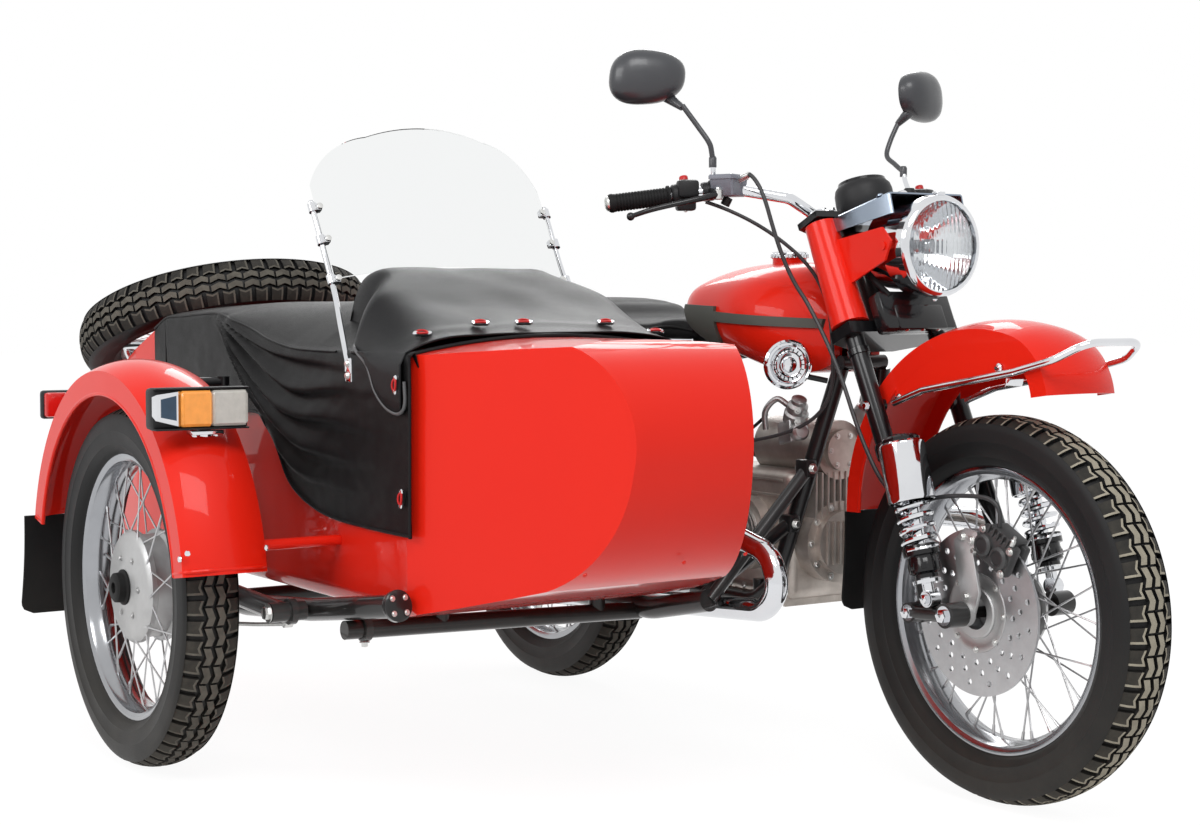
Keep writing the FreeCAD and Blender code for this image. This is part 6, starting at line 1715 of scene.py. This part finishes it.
# %% Handle, latch and hinges at the rear
handle, lid_parts = Form(), Form()
half_handle = [(-392, -902, 752), (-392, -912, 776), (-376, -914, 786)]
handle.tube(path(half_handle + [(-560 - x, y, z) for x, y, z in reversed(half_handle)]), 6, 12)
for x in (-392, -168):
    handle.lathe([(0, 0), (13, 0), (13, 3), (8, 6), (0, 6)], at(x, -903, 752),
                 Vector((0, -0.5, 0.8)), 22)
handle.made("grab_handle", "chassis", "bright_chrome")
hinge = at(-125, body_plane, 861)
for hand in HANDS:
    spot = hinge + down_slope * 0.045 + off_slope * 0.009 + Y * 0.13 * hand
    lid_parts.box(spot, (60, 24, 4), 1.5, down_slope, off_slope)
    for reach in (-16, 16):
        lid_parts.bolt(spot + down_slope * reach * MM + off_slope * 0.002, off_slope, 4.5, 3)
latch = hinge + down_slope * 0.607 + off_slope * 0.02
lid_parts.box(latch, (20, 44, 8), 3, down_slope, off_slope)
lid_parts.lathe([(0, 0), (9, 0), (9, 8), (6, 11), (0, 11)], latch + off_slope * 0.003, off_slope,
                24)
lid_parts.lathe([(10, 54), (34, 54), (36, 58), (36, 64), (26, 72), (0, 74)],
                middle_of("spare_tyre"), off_slope, 8)
lid_parts.made("lid_hardware", "boot_lid", "bright_chrome")

# %% Rivets of the nose, and clips on the chrome rail
rivets, rail_bits = Form(), Form()
for y, z in ((-599, 454), (-796, 447), (-470, 460)):
    rivets.lathe([(0, 0), (4.2, 0), (3.6, 1.4), (0, 2)], at(1352, y, z),
                 Vector((0.82, 0, -0.57)), 18)
rivets.made("nose_rivets", "chassis", "red_lacquer")
for hand in HANDS:
    for x, z in ((1306, 714), (1560, 776)):
        rail_bits.lathe([(0, 0), (8, 0), (8, 3), (5, 6), (0, 6.5)], at(x, 83 * hand, z), Y * hand,
                        20)
    rail_bits.box(at(1596, 83.5 * hand, 752), (14, 3, 40), 1, Vector((0.3, 0, 1)), Y * hand)
rail_bits.made("rail_clips", "fork", "bright_chrome")

# %% [markdown]
# ## Control cable and brake hose
# Both are round cords along smooth splines.  The throttle cable leaves the switch cluster, dips
# in front of the tank and goes back to a carburettor.  Its upper end turns with the fork and its
# lower end stays; the piece is attached to no body.  The brake hose runs from the fluid
# box down to the caliper, so all of it turns with the fork.

# %% Cable


def hose_tube(name, route, radius):
    """A tube along a smooth spline that has the route's points as its control points."""
    line = bpy.data.curves.new(name + "_line", "CURVE")
    line.dimensions = "3D"
    line.bevel_depth, line.bevel_resolution = radius * MM, 4
    line.resolution_u, line.use_fill_caps = 12, True
    spline = line.splines.new("NURBS")
    spline.points.add(len(route) - 1)
    for point, place in zip(spline.points, path(route)):
        point.co = (*place, 1)
    spline.order_u, spline.use_endpoint_u = 3, True
    holder = placed(name + "_line", line)
    mesh = bpy.data.meshes.new_from_object(
        holder.evaluated_get(bpy.context.evaluated_depsgraph_get()))
    bpy.data.objects.remove(holder)
    mesh.materials.clear()
    mesh.materials.append(finishes["cable_grey"][0])
    for face in mesh.polygons:
        face.use_smooth = True
    piece = placed(name, mesh)
    print(name, len(mesh.polygons), "faces")
    return piece


cable = hose_tube("control_cable", [
    (952, -262, 1079), (1000, -205, 1055), (1072, -112, 970), (1104, -84, 890), (1118, -84, 800),
    (1112, -80, 700), (1050, -112, 640), (930, -190, 610), (800, -238, 600), (728, -243, 600),
    (728, -243, 562.6)], 3.6)
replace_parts(cable, "throttle_cable")
at(1060, -120, 990)
at(1112, -80, 760)
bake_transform(cable)

# %% Brake hose
hose = hose_tube("brake_line", [
    (1020, -210, 1130), (1048, -206, 1116), (1080, -190, 1000), (1100, -170, 930),
    (1130, -150, 880), (1200, -140, 770), (1262, -138, 640), (1335, -138, 545),
    (1385, -112, 532), (1470, -104, 552), (1582, -86, 552), (1563.4, -84, 496)], 4.0)
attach(hose, "fork")
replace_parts(hose, "brake_hose")

# %% [markdown]
# ## Size
# The finished model should fill the same box as the frame's solids.

# %% Sizes and finish
dressed_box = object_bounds()
sizes = {"cad": [list(corner) for corner in cad_box],
         "dressed": [list(corner) for corner in dressed_box]}
for label, (low, high) in sizes.items():
    print(label, [round(h - l, 3) for l, h in zip(low, high)])
